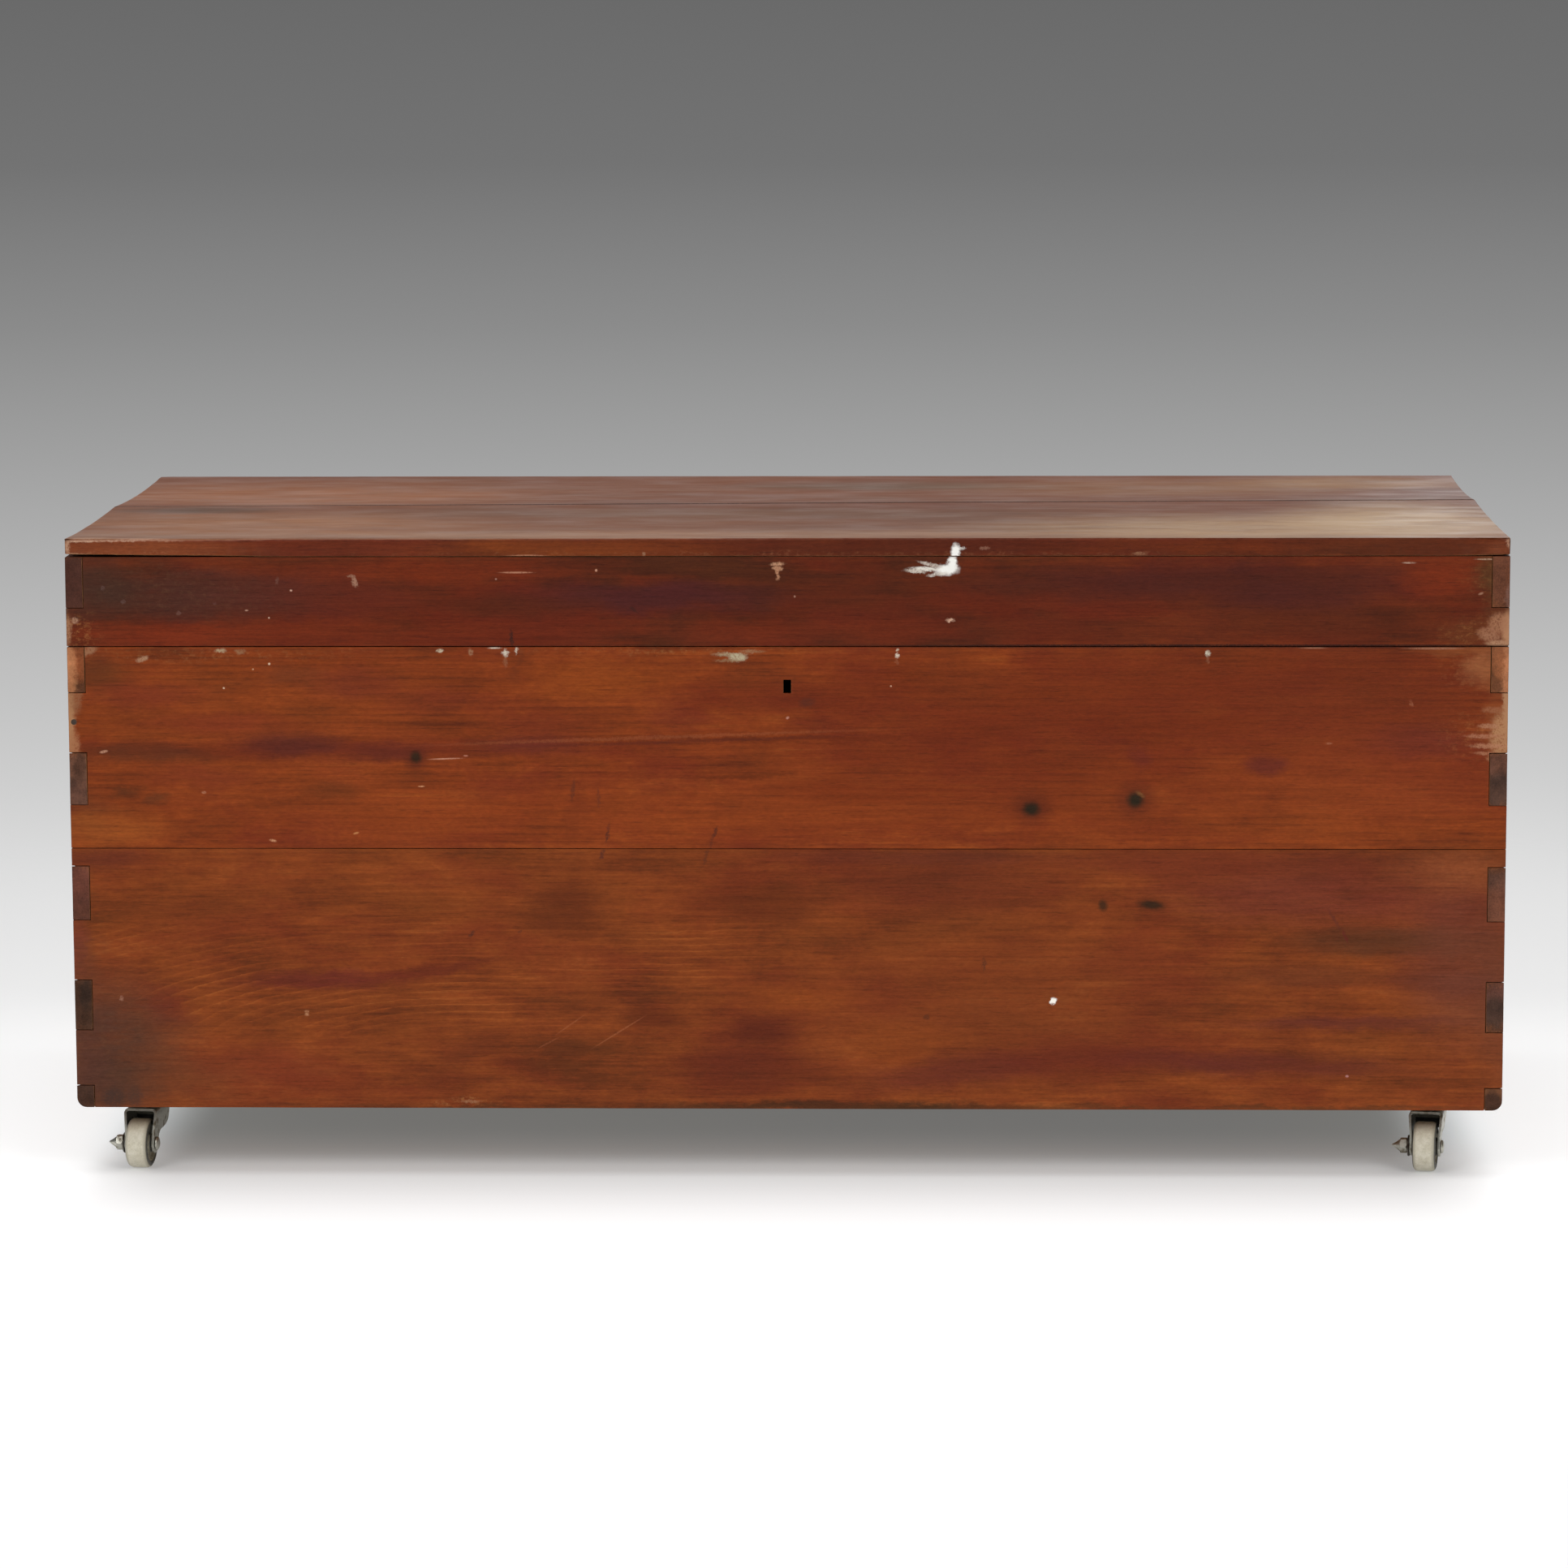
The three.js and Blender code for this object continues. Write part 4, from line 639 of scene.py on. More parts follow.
lidBackLook = dict(lidFrontLook, stains=[(0, 470, 300, 20, (78, 38, 30), 0.5)], dust=[], chips=[])
lidSideLook = {
    "plane": "YZ", "tones": [(66, 33, 24), (84, 41, 27), (100, 50, 30), (116, 60, 36)], "ring": 8,
    "wander": 0.015, "shift": (0.3, 0.7, 0.6), "gloss": (0.46, 0.62), "mottle": 0.5, "redness": 0.4,
    "stains": [(0, 480, 180, 18, (72, 36, 30), 0.5)],
    "chips": [(-268, 449, 6, 14, (160, 112, 80), 0.9)],
}
bareLook = {
    "plane": "XZ", "shift": (0.15, 0.35, 0.5),
    "tones": [(126, 84, 54), (146, 102, 68), (162, 118, 82), (176, 132, 95)],
    "redness": 0.1, "redTone": (150, 98, 64), "brownness": 0.1, "brownTone": (146, 112, 78), "arrisWear": 0.1,
    "mottle": 0.35, "bands": 0.55, "streaks": 0.14, "pores": 0.15,
    "ring": 8, "wander": 0.04, "gloss": (0.7, 0.85),
}
bareSideLook = dict(bareLook, plane="YZ", shift=(0.45, 0.3, 0.7))
bareFlatLook = dict(bareLook, plane="XY", shift=(0.25, 0.65, 0.2))

# End grain of the tails down both front corners
tailEndLook = {
    "plane": "XZ", "tones": [(78, 48, 34), (120, 74, 48)],
    "stains": [
        (-575, 420, 30, 18, (128, 72, 44), 0.9), (-575, 398, 30, 8, (96, 60, 42), 0.8),
        (575, 415, 30, 24, (132, 82, 54), 0.9), (566, 402, 5, 12, (92, 58, 40), 0.8, 30),
        (-575, 334, 26, 12, (104, 74, 62), 0.8), (-572, 314, 26, 12, (90, 64, 56), 0.85),
        (-566, 338, 5, 12, (74, 50, 40), 0.7), (-575, 142, 30, 26, (66, 46, 36), 0.95),
        (-566, 150, 5, 14, (52, 38, 32), 0.7), (-575, 240, 26, 18, (98, 58, 50), 0.85),
        (-570, 220, 26, 12, (84, 52, 44), 0.85), (575, 146, 30, 16, (86, 56, 50), 0.9),
        (569, 138, 9, 14, (64, 48, 42), 0.9), (575, 336, 26, 14, (96, 66, 56), 0.85),
        (570, 318, 20, 14, (74, 56, 50), 0.9), (575, 244, 26, 10, (88, 62, 54), 0.85),
        (575, 226, 26, 14, (110, 70, 56), 0.85), (-575, 68, 30, 14, (66, 46, 38), 0.9),
        (575, 68, 30, 14, (100, 66, 46), 0.9), (568, 64, 9, 8, (62, 42, 34), 0.9),
        (-575, 485, 30, 28, (72, 44, 38), 0.95), (575, 490, 30, 24, (104, 64, 48), 0.9),
        (-574.5, 400, 6.5, 40, (170, 116, 82), 1.0), (574.5, 405, 5, 32, (168, 114, 82), 1.0),
        (574.5, 470, 3, 12, (128, 96, 88), 0.6),
    ],
}
pinEndLook = {
    "plane": "YZ", "tones": [(70, 44, 32), (108, 70, 46)],
    "stains": [(-268, 372, 10, 30, (160, 110, 76), 0.9)],
}
slabEndLook = {"plane": "YZ", "tones": [(86, 50, 34), (134, 86, 58)]}

# A long front's marks are shared out over zones from left to right, which keeps each material small
chestHalf = 575
zoneOverlap = 12  # a face belongs to the zone of its middle and can reach past its border


def zoneOf(x, count):  # x in metres
    return max(0, min(count - 1, int((x / mm + chestHalf) / (2 * chestHalf) * count)))


def zoneLook(look, zone):  # the same look, with the marks that reach into one zone
    width = 2 * chestHalf / look["zones"]
    low, high = zone * width - chestHalf - zoneOverlap, (zone + 1) * width - chestHalf + zoneOverlap
    trimmed = dict(look)
    for kind, rim in markKinds.items():
        trimmed[kind] = []
        for mark in look.get(kind, []):
            halfSpan = mark[2] * abs(math.cos(tiltOf(mark))) + mark[3] * abs(math.sin(tiltOf(mark)))
            reach = halfSpan * (1 + rim["edge"]) + rim["margin"]
            if mark[0] + reach > low and mark[0] - reach < high:
                trimmed[kind].append(mark)
    return trimmed


woods = {}
for name, look in {
    "frontUpperWood": frontUpperLook, "frontLowerWood": frontLowerLook, "lidFrontWood": lidFrontLook,
    "slabEdgeWood": slabEdgeLook, "topWood": topLook, "sideWood": sideLook, "backWood": backLook,
    "lidBackWood": lidBackLook, "lidSideWood": lidSideLook, "bareWood": bareLook,
    "bareSideWood": bareSideLook, "bareFlatWood": bareFlatLook,
}.items():
    if "zones" in look:
        woods[name] = [woodMaterial(f"{name}{zone + 1}", zoneLook(look, zone)) for zone in range(look["zones"])]
    else:
        woods[name] = [woodMaterial(name, look)]
for name, look in {"tailEndGrain": tailEndLook, "pinEndGrain": pinEndLook, "slabEndGrain": slabEndLook}.items():
    woods[name] = [endGrainMaterial(name, look)]
print("wood finishes made:", len(woods))


# Metal and wheel finishes

metalFinish = {"grit": (1800, 2, 0.7), "gritRoughness": 0.1, "tarnishSpan": 0.16, "paintedShadeEdge": 0.3,
               "paintedShadeRoughness": 0.9, "relief": 0.25, "reliefDepth": 0.0001}


def metalMaterial(name, look):
    material = newMaterial(name)
    place = addNode("TexCoord").outputs["Object"]
    parts = addNode("SeparateXYZ", {0: place}).outputs
    cloud = noiseValue(place, look["cloud"], 3)
    grit = noiseValue(place, *metalFinish["grit"])
    tarnish = remap(cloud, look["tarnishFrom"], look["tarnishFrom"] + metalFinish["tarnishSpan"])
    colour = paint(screenColour(*look["tone"]), tarnish, look["tarnish"])
    roughness = plus(remap(tarnish, 0, 1, *look["gloss"]), times(grit, metalFinish["gritRoughness"]))
    if "heightShade" in look:  # painted shade by height: on the zinc, darker up by the plate, with some grease; on the web, lighter from its middle up
        low, high, tone, strength = look["heightShade"]
        heightShade = remap(parts[2], low * mm, high * mm, 0.0, strength, smooth=True)
        colour = paint(colour, heightShade, tone)
    # a black mark painted behind the keyhole as shade
    if "paintedShade" in look:
        black = markMask(faceVector(parts[0], parts[2]), look["paintedShade"], metalFinish["paintedShadeEdge"])
        colour = paint(colour, black, look["paintedShade"][4])
        roughness = calc("MAXIMUM", roughness, times(black, metalFinish["paintedShadeRoughness"]))
    surface({"Base Color": colour, "Roughness": roughness, "Metallic": look["metal"]}, grit,
            metalFinish["reliefDepth"], metalFinish["relief"])
    return material


# the zinc darkens from 40 to 48 mm up: painted shade under the plate, with some grease
zincLook = {"tone": (188, 187, 176), "tarnish": (120, 111, 92), "tarnishFrom": 0.52, "cloud": 160,
            "gloss": (0.36, 0.58), "metal": 1.0, "heightShade": (40, 48, (104, 100, 90), 0.6)}
darkLook = {"tone": (104, 100, 92), "tarnish": (66, 54, 44), "tarnishFrom": 0.46, "cloud": 110,
            "gloss": (0.42, 0.7), "metal": 0.9}
# the web between the legs, above the wheel, painted near black as shade, and lighter from 38.6 mm up
webShadeLook = {"tone": (30, 29, 26), "tarnish": (18, 17, 15), "tarnishFrom": 0.46, "cloud": 200,
              "gloss": (0.6, 0.8), "metal": 0.3, "heightShade": (37.2, 38.6, (128, 124, 112), 0.85)}
brassLook = {"tone": (168, 136, 78), "tarnish": (92, 70, 42), "tarnishFrom": 0.45, "cloud": 90,
             "gloss": (0.34, 0.6), "metal": 1.0}
# behind the keyhole the lock is painted black: painted shade, for the dark seen through the keyhole
keyholeShade = (1.7, 400, 8, 12, (5, 5, 4), 1.0)
zincSteel, darkSteel, webShadeSteel, agedBrass, lockBrass, lockSteel = [
    metalMaterial(name, look) for name, look in {
        "zincSteel": zincLook, "darkSteel": darkLook, "webShadeSteel": webShadeLook, "agedBrass": brassLook,
        "lockBrass": dict(brassLook, paintedShade=keyholeShade), "lockSteel": dict(darkLook, paintedShade=keyholeShade),
    }.items()]

# The wheel: shoulder and flank are by millimetres from its middle plane, inside and within by radius. Both
# flanks are painted dark: partly the plastic's own tone, partly painted shade
wheelLook = {
    "cloud": (220, 3, 0.6), "grit": (1400, 3, 0.7), "scratch": (800, 3, 0.7),
    "tones": [(194, 187, 165), (205, 199, 179), (214, 208, 191)], "toneRange": (0.3, 0.7),
    "grime": (104, 98, 78), "grimeRange": (0.3, 0.6, 0.55, 0.95), "shoulder": (5.4, 8.2), "shoulderGrime": 0.55,
    "inside": (18.6, 16.4), "flankShade": (40, 42, 38), "flankFrom": (8.0, 8.9), "flankWithin": (19.4, 18.6),
    "flankStrength": 0.92, "scuff": (142, 132, 108), "scuffRange": (0.54, 0.72, 0, 0.45),
    "gloss": (0.42, 0.62), "relief": 0.4, "reliefDepth": 0.0002,
}


def wheelPlastic(look):
    material = newMaterial("wheelPlastic")
    place = addNode("TexCoord").outputs["Object"]
    radius = addNode("Attribute", attribute_name="radius").outputs["Fac"]
    along = calc("ABSOLUTE", addNode("Attribute", attribute_name="along").outputs["Fac"])
    cloud, grit, scratch = [noiseValue(place, *look[key]) for key in ("cloud", "grit", "scratch")]
    colour = toneRamp(cloud, *look["toneRange"], look["tones"])
    shoulder = times(fadeIn(along, *look["shoulder"]), look["shoulderGrime"])
    grime = times(calc("MAXIMUM", shoulder, fadeIn(radius, *look["inside"])), remap(cloud, *look["grimeRange"]))
    colour = paint(colour, grime, look["grime"])
    # dark flanks on both sides: painted shade together with the darker plastic
    flankShade = times(fadeIn(along, *look["flankFrom"]), fadeIn(radius, *look["flankWithin"]),
                  look["flankStrength"])
    colour = paint(colour, flankShade, look["flankShade"])
    colour = paint(colour, remap(scratch, *look["scuffRange"]), look["scuff"])
    roughness = remap(cloud, *look["toneRange"], *look["gloss"])
    surface({"Base Color": colour, "Roughness": roughness}, grit, look["reliefDepth"], look["relief"])
    return material


pegLook = {"speck": (900, 3, 0.7), "tones": [(34, 26, 20), (72, 52, 36)], "toneRange": (0.3, 0.7),
           "roughness": 0.75, "relief": 0.7, "reliefDepth": 0.0004}


def pegMaterial(look):  # pegs and nail heads gone dark
    material = newMaterial("darkPeg")
    speck = noiseValue(addNode("TexCoord").outputs["Object"], *look["speck"])
    colour = toneRamp(speck, *look["toneRange"], look["tones"])
    surface({"Base Color": colour, "Roughness": look["roughness"]}, speck, look["reliefDepth"], look["relief"])
    return material


wheelCream, darkPeg = wheelPlastic(wheelLook), pegMaterial(pegLook)
print("metal and wheel finishes made")


# Mesh tools

def facesOut(shape):
    bmesh.ops.recalc_face_normals(shape, faces=shape.faces)


def meshOf(name, shape, materials=(), sharpAngle=None):  # uses the shape up
    mesh = bpy.data.meshes.new(name)
    shape.to_mesh(mesh)
    shape.free()
    for material in materials:
        mesh.materials.append(material)
    if sharpAngle:
        mesh.shade_smooth()
        mesh.set_sharp_from_angle(angle=math.radians(sharpAngle))
    return mesh


def addObject(name, data):
    made = bpy.data.objects.new(name, data)
    bpy.context.scene.collection.objects.link(made)
    return made


def finishPiece(name, shape, materials, body, stands=()):
    piece = addObject(name, meshOf(name, shape, materials, sharpAngle=40))
    even = piece.modifiers.new("even normals", "WEIGHTED_NORMAL")
    even.keep_sharp = True
    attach(piece, body)
    if stands:
        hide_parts(*stands)


def solidCopy(node):  # a CAD solid with its flat faces whole again
    shape = bmesh.new()
    shape.from_mesh(frame["nodes"][node].data)
    bmesh.ops.remove_doubles(shape, verts=shape.verts, dist=1e-6)
    bmesh.ops.dissolve_limit(shape, angle_limit=math.radians(0.05), verts=shape.verts, edges=shape.edges)
    return shape


def bevelEdges(shape, edges, width, segments):
    bmesh.ops.bevel(shape, geom=edges, offset=width, offset_type="OFFSET", segments=segments,
                    profile=0.5, affect="EDGES", clamp_overlap=False)


def roundEdges(shape, width, shortest=3 * mm, fromAngle=30):
    edges = [edge for edge in shape.edges if len(edge.link_faces) == 2 and edge.calc_length() > shortest
             and edge.calc_face_angle_signed() > math.radians(fromAngle)]
    bevelEdges(shape, edges, width, 2)


def cutInGrid(shape, steps):
    for axis, step in enumerate(steps):
        if not step:
            continue
        low = min(v.co[axis] for v in shape.verts)
        high = max(v.co[axis] for v in shape.verts)
        normal = Vector([1 if i == axis else 0 for i in range(3)])
        count = round((high - low) / (step * mm))
        for i in range(1, count):
            everything = shape.verts[:] + shape.edges[:] + shape.faces[:]
            at = normal * (low + (high - low) * i / count)
            bmesh.ops.bisect_plane(shape, geom=everything, plane_co=at, plane_no=normal, dist=1e-6)


def unevenness(point):  # smooth noise from 0 to 1
    return 0.5 + 0.5 * noise.noise(point)


# How boards age: the noise in their faces, dents and rubbed arrises, and how worn any arris looks
ageing = {"face": 28, "dent": 95, "dentShift": (3, 7, 1), "rub": 260, "arrisWidth": 0.12, "arrisWorn": 0.35,
          "longArris": 0.5, "topFacing": 0.8, "topSegments": 4}


# A board as time has left it: arrises rounded and dented, faces a little uneven.
# Everything moves inwards, so a board never leaves the room its solid has.
def wornBoard(node, body, look):
    shape = solidCopy(node)
    shape.normal_update()
    for width, side in look.get("roundTop", []):  # long top arrises that are rubbed rounder than the rest
        chosen = [edge for edge in shape.edges
                  if edge.calc_length() > ageing["longArris"] and len(edge.link_faces) == 2
                  and max(face.normal.z for face in edge.link_faces) > ageing["topFacing"]
                  and max(face.normal.y * side for face in edge.link_faces) > ageing["topFacing"]]
        bevelEdges(shape, chosen, width * mm, ageing["topSegments"])
        shape.normal_update()
    roundEdges(shape, look["arris"] * mm)
    cutInGrid(shape, look["grid"])
    shape.normal_update()
    wearLayer = shape.verts.layers.float.new("wear")
    for vert in shape.verts:
        place = vert.co
        onArris = min(1, (1 - max(abs(c) for c in vert.normal)) / ageing["arrisWidth"])
        depth = look["uneven"] * unevenness(place * ageing["face"])
        dent = unevenness(place * ageing["dent"] + Vector(ageing["dentShift"]))
        worn = 0.0
        for x, y, z, reach, amount in look.get("wear", []):
            away = (place - Vector((x, y, z)) * mm).length / (reach * mm)
            worn = max(worn, amount * max(0, 1 - away * away))
        depth += onArris * (look["dents"] * dent ** 2 + worn * unevenness(place * ageing["rub"]))
        vert[wearLayer] = onArris * min(1, ageing["arrisWorn"] + worn)
        vert.co = place - vert.normal * depth * mm
    for rule in look.get("shape", []):
        rule(shape)
    low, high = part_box(node)
    for vert in shape.verts:  # overlapping bevels can throw a corner out of the solid's room
        vert.co = [min(max(at, least), most) for at, least, most in zip(vert.co, low, high)]
    finishes = [woods[name] for name in look["finishes"]]
    for face in shape.faces:
        centre = face.calc_center_median()
        kind = look["sort"](face.normal)
        before = sum(len(zones) for zones in finishes[:kind])
        face.material_index = before + zoneOf(centre.x, len(finishes[kind]))
    materials = [material for zones in finishes for material in zones]
    finishPiece(node + "_wood", shape, materials, body, [node])


squareOn = 0.6  # how squarely a face has to look one way to be counted to that side


def sorter(grainAxis, inward=None, edge=None):
    # which finish a face takes: 0 outside, 1 end grain, 2 inside, 3 long edge
    def sort(normal):
        if abs(normal[grainAxis]) > squareOn:
            return 1
        if inward and normal.dot(Vector(inward)) > squareOn:
            return 2
        if edge and normal.dot(Vector(edge)) > squareOn:
            return 3
        return 0
    return sort


# The front top board has lifted off the rail a little at both ends: where from, over what length, how far
slabLift = {"left": (-410, 165, 1.7), "right": (540, 35, 0.7), "frontOf": -200, "skin": 1.6, "fadeHeight": 2.6}


def liftSlabEnds(shape):
    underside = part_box("lid_top_front_board")[0].z / mm
    leftFrom, leftLength, leftRise = slabLift["left"]
    rightFrom, rightLength, rightRise = slabLift["right"]
    for vert in shape.verts:
        x, height = vert.co.x / mm, vert.co.z / mm - underside
        if height < slabLift["skin"] and vert.co.y < slabLift["frontOf"] * mm:
            lift = max(0, (leftFrom - x) / leftLength) * leftRise
            lift += max(0, (x - rightFrom) / rightLength) * rightRise
            vert.co.z += lift * mm * min(1, (slabLift["fadeHeight"] - height) / 2)


# Each board: body, slot, and how it has worn. Wear: (x, y, z, reach, amount).
backBoard = {"grid": (16, 0, 14), "arris": 0.5, "uneven": 0.2, "dents": 0.3, "sort": sorter(0, (0, -1, 0)),
             "finishes": ["backWood", "pinEndGrain", "bareWood"]}
bottomBoard = {"grid": (24, 20, 0), "arris": 0.4, "uneven": 0.15, "dents": 0.2, "sort": sorter(0),
               "finishes": ["bareFlatWood", "slabEndGrain"]}
boards = {
    "front_upper_board": ("box", "front_wood", {
        "grid": (9, 0, 6), "arris": 0.3, "uneven": 0.16, "dents": 0.25, "sort": sorter(0, (0, 1, 0)),
        "finishes": ["frontUpperWood", "pinEndGrain", "bareWood"],
        "wear": [(-575, -270, 372, 34, 1.3), (575, -270, 370, 34, 1.4), (575, -270, 345, 16, 1.0),
                 (-225, -270, 433, 14, 0.8), (-45, -270, 433, 16, 0.6)]}),
    "front_lower_board": ("box", "front_wood", {
        "grid": (12, 0, 10), "arris": 0.3, "uneven": 0.18, "dents": 0.3, "sort": sorter(0, (0, 1, 0)),
        "finishes": ["frontLowerWood", "pinEndGrain", "bareWood"],
        "wear": [(-575, -270, 100, 60, 0.6), (575, -270, 100, 60, 0.5)]}),
    "back_upper_board": ("box", "side_wood", backBoard),
    "back_lower_board": ("box", "side_wood", backBoard),
    "bottom_front_board": ("box", "bare_wood", bottomBoard),
    "lid_front_rail": ("lid", "lid_wood", {
        "grid": (9, 0, 6), "arris": 0.3, "uneven": 0.15, "dents": 0.25, "sort": sorter(0, (0, 1, 0)),
        "finishes": ["lidFrontWood", "pinEndGrain", "bareWood"],
        "wear": [(575, -270, 449, 26, 1.4), (-575, -270, 446, 20, 0.9)]}),
    "lid_back_rail": ("lid", "lid_wood", {
        "grid": (16, 0, 12), "arris": 0.5, "uneven": 0.15, "dents": 0.3, "sort": sorter(0, (0, -1, 0)),
        "finishes": ["lidBackWood", "pinEndGrain", "bareWood"]}),
    "lid_top_front_board": ("lid", "top_wood", {
        "grid": (7, 12, 0), "arris": 0.7, "uneven": 0.15, "dents": 0.6,
        "roundTop": [(2.4, -1), (3, 1)], "shape": [liftSlabEnds], "sort": sorter(0, (0, 0, -1), (0, -1, 0)),
        "finishes": ["topWood", "slabEndGrain", "bareFlatWood", "slabEdgeWood"],
        "wear": [(-575, -270, 520, 90, 2.0), (575, -270, 520, 50, 1.6), (-460, -270, 520, 60, 1.4)]}),
    "lid_top_rear_board": ("lid", "top_wood", {
        "grid": (10, 12, 0), "arris": 0.7, "uneven": 0.15, "dents": 0.5,
        "roundTop": [(1.6, 1)], "sort": sorter(0, (0, 0, -1), (0, 1, 0)),
        "finishes": ["topWood", "slabEndGrain", "bareFlatWood", "backWood"]}),
    "bottom_middle_board": ("box", "bare_wood", bottomBoard),
    "bottom_rear_board": ("box", "bare_wood", bottomBoard),
}
for side, sign in (("left", -1), ("right", 1)):
    for level in ("upper", "lower"):
        boards[f"{side}_{level}_board"] = ("box", "side_wood", {
            "grid": (0, 14, 6), "arris": 0.3, "uneven": 0.18, "dents": 0.3, "sort": sorter(1, (-sign, 0, 0)),
            "finishes": ["sideWood", "tailEndGrain", "bareSideWood"],
            "wear": [(sign * 575, -270, 415, 26, 1.5), (sign * 575, -270, 330, 24, 0.8)]})
    boards[f"lid_{side}_rail"] = ("lid", "lid_wood", {
        "grid": (0, 14, 7), "arris": 0.3, "uneven": 0.15, "dents": 0.3, "sort": sorter(1, (-sign, 0, 0)),
        "finishes": ["lidSideWood", "tailEndGrain", "bareSideWood"],
        "wear": [(sign * 575, -270, 485, 30, 0.8)]})

for node, (body, slot, look) in boards.items():
    wornBoard(node, body, look)
print("boards worn in:", len(boards))


# Shapes drawn in millimetres, then set in place

def arcPoints(centreU, centreV, radius, start, end, steps):
    angles = [math.radians(start + (end - start) * i / steps) for i in range(steps + 1)]
    return [(centreU + radius * math.cos(angle), centreV + radius * math.sin(angle)) for angle in angles]


def curvePoints(first, pull, last, steps):  # a quadratic curve from first to last
    made = []
    for i in range(steps + 1):
        t = i / steps
        made.append(tuple((1 - t) ** 2 * a + 2 * t * (1 - t) * b + t * t * c
                          for a, b, c in zip(first, pull, last)))
    return made


def softened(points, radius, steps=4):
    # rounds the inner corners of a profile, by no more than its short sides allow
    made = [points[0]]
    for before, corner, after in zip(points, points[1:], points[2:]):
        b, c, a = Vector(before), Vector(corner), Vector(after)
        reach = min(radius, (b - c).length * 0.45, (a - c).length * 0.45)
        start, end = c + (b - c).normalized() * reach, c + (a - c).normalized() * reach
        made += curvePoints(start, c, end, steps)
    made.append(points[-1])
    return [tuple(point) for point in made]


def ringProfile(inner, outer, low, high):  # the closed section of a flat ring
    return [(inner, low), (outer, low), (outer, high), (inner, high), (inner, low)]


def lathe(shape, profile, axis="Z", segments=48):
    # profile: (radius, distance along the axis); closed if it ends where it starts
    radiusLayer = shape.verts.layers.float.get("radius") or shape.verts.layers.float.new("radius")
    alongLayer = shape.verts.layers.float.get("along") or shape.verts.layers.float.new("along")
    closed = profile[0] == profile[-1]
    rings = []
    for radius, along in profile[:-1] if closed else profile:
        ring = []
        for i in range(segments if radius > 0 else 1):
            angle = 2 * math.pi * i / segments
            u, v = radius * math.cos(angle), radius * math.sin(angle)
            vert = shape.verts.new((u, v, along) if axis == "Z" else (along, u, v))
            vert[radiusLayer], vert[alongLayer] = radius, along
            ring.append(vert)
        rings.append(ring)
    pairs = list(zip(rings, rings[1:])) + ([(rings[-1], rings[0])] if closed else [])
    for low, high in pairs:
        for i in range(segments):
            j = (i + 1) % segments
            corners = [low[i % len(low)], low[j % len(low)], high[j % len(high)], high[i % len(high)]]
            corners = list(dict.fromkeys(corners))
            if len(corners) > 2:
                shape.faces.new(corners)


def turned(profile, axis="Z", segments=48):  # a new shape of one turned profile
    shape = bmesh.new()
    lathe(shape, profile, axis, segments)
    return shape


def rod(radius, low, high, axis="Z", segments=48):
    return turned([(0, low), (radius, low), (radius, high), (0, high)], axis, segments)


def prism(points, plane, low, high):
    # an outline drawn in two axes, pushed along the third
    shape = bmesh.new()
    third = ({"X", "Y", "Z"} - set(plane)).pop()
    order = ["XYZ".index(axis) for axis in (*plane, third)]
    rings = []
    for depth in (low, high):
        ring = []
        for u, v in points:
            place = [0, 0, 0]
            for axis, value in zip(order, (u, v, depth)):
                place[axis] = value
            ring.append(shape.verts.new(place))
        rings.append(ring)
        shape.faces.new(ring)
    for i in range(len(points)):
        j = (i + 1) % len(points)
        shape.faces.new([rings[0][i], rings[0][j], rings[1][j], rings[1][i]])
    facesOut(shape)
    return shape


def rectangle(left, right, low, high):
    return [(left, low), (right, low), (right, high), (left, high)]


def roundedRectangle(width, length, corner, steps=6):
    made, u, v = [], width / 2 - corner, length / 2 - corner
    for su, sv, start in ((1, 1, 0), (-1, 1, 90), (-1, -1, 180), (1, -1, 270)):
        made += arcPoints(su * u, sv * v, corner, start, start + 90, steps)
    return made


def combine(shape, tool, operation):
    # boolean of two meshes, through a modifier
    holders = []
    for part in (shape, tool):
        facesOut(part)
        holders.append(addObject("cutting", meshOf("cutting", part)))
    cut = holders[0].modifiers.new("cut", "BOOLEAN")
    cut.operation, cut.object, cut.solver = operation, holders[1], "EXACT"
    bpy.context.view_layer.update()
    evaluated = holders[0].evaluated_get(bpy.context.evaluated_depsgraph_get())
    result = bmesh.new()
    result.from_mesh(evaluated.to_mesh())
    evaluated.to_mesh_clear()
    for holder in holders:
        mesh = holder.data
        bpy.data.objects.remove(holder)
        bpy.data.meshes.remove(mesh)
    bmesh.ops.dissolve_limit(result, angle_limit=math.radians(0.2), verts=result.verts, edges=result.edges)
    return result


# Casters. Heights are above the floor, other places are from the kingpin.

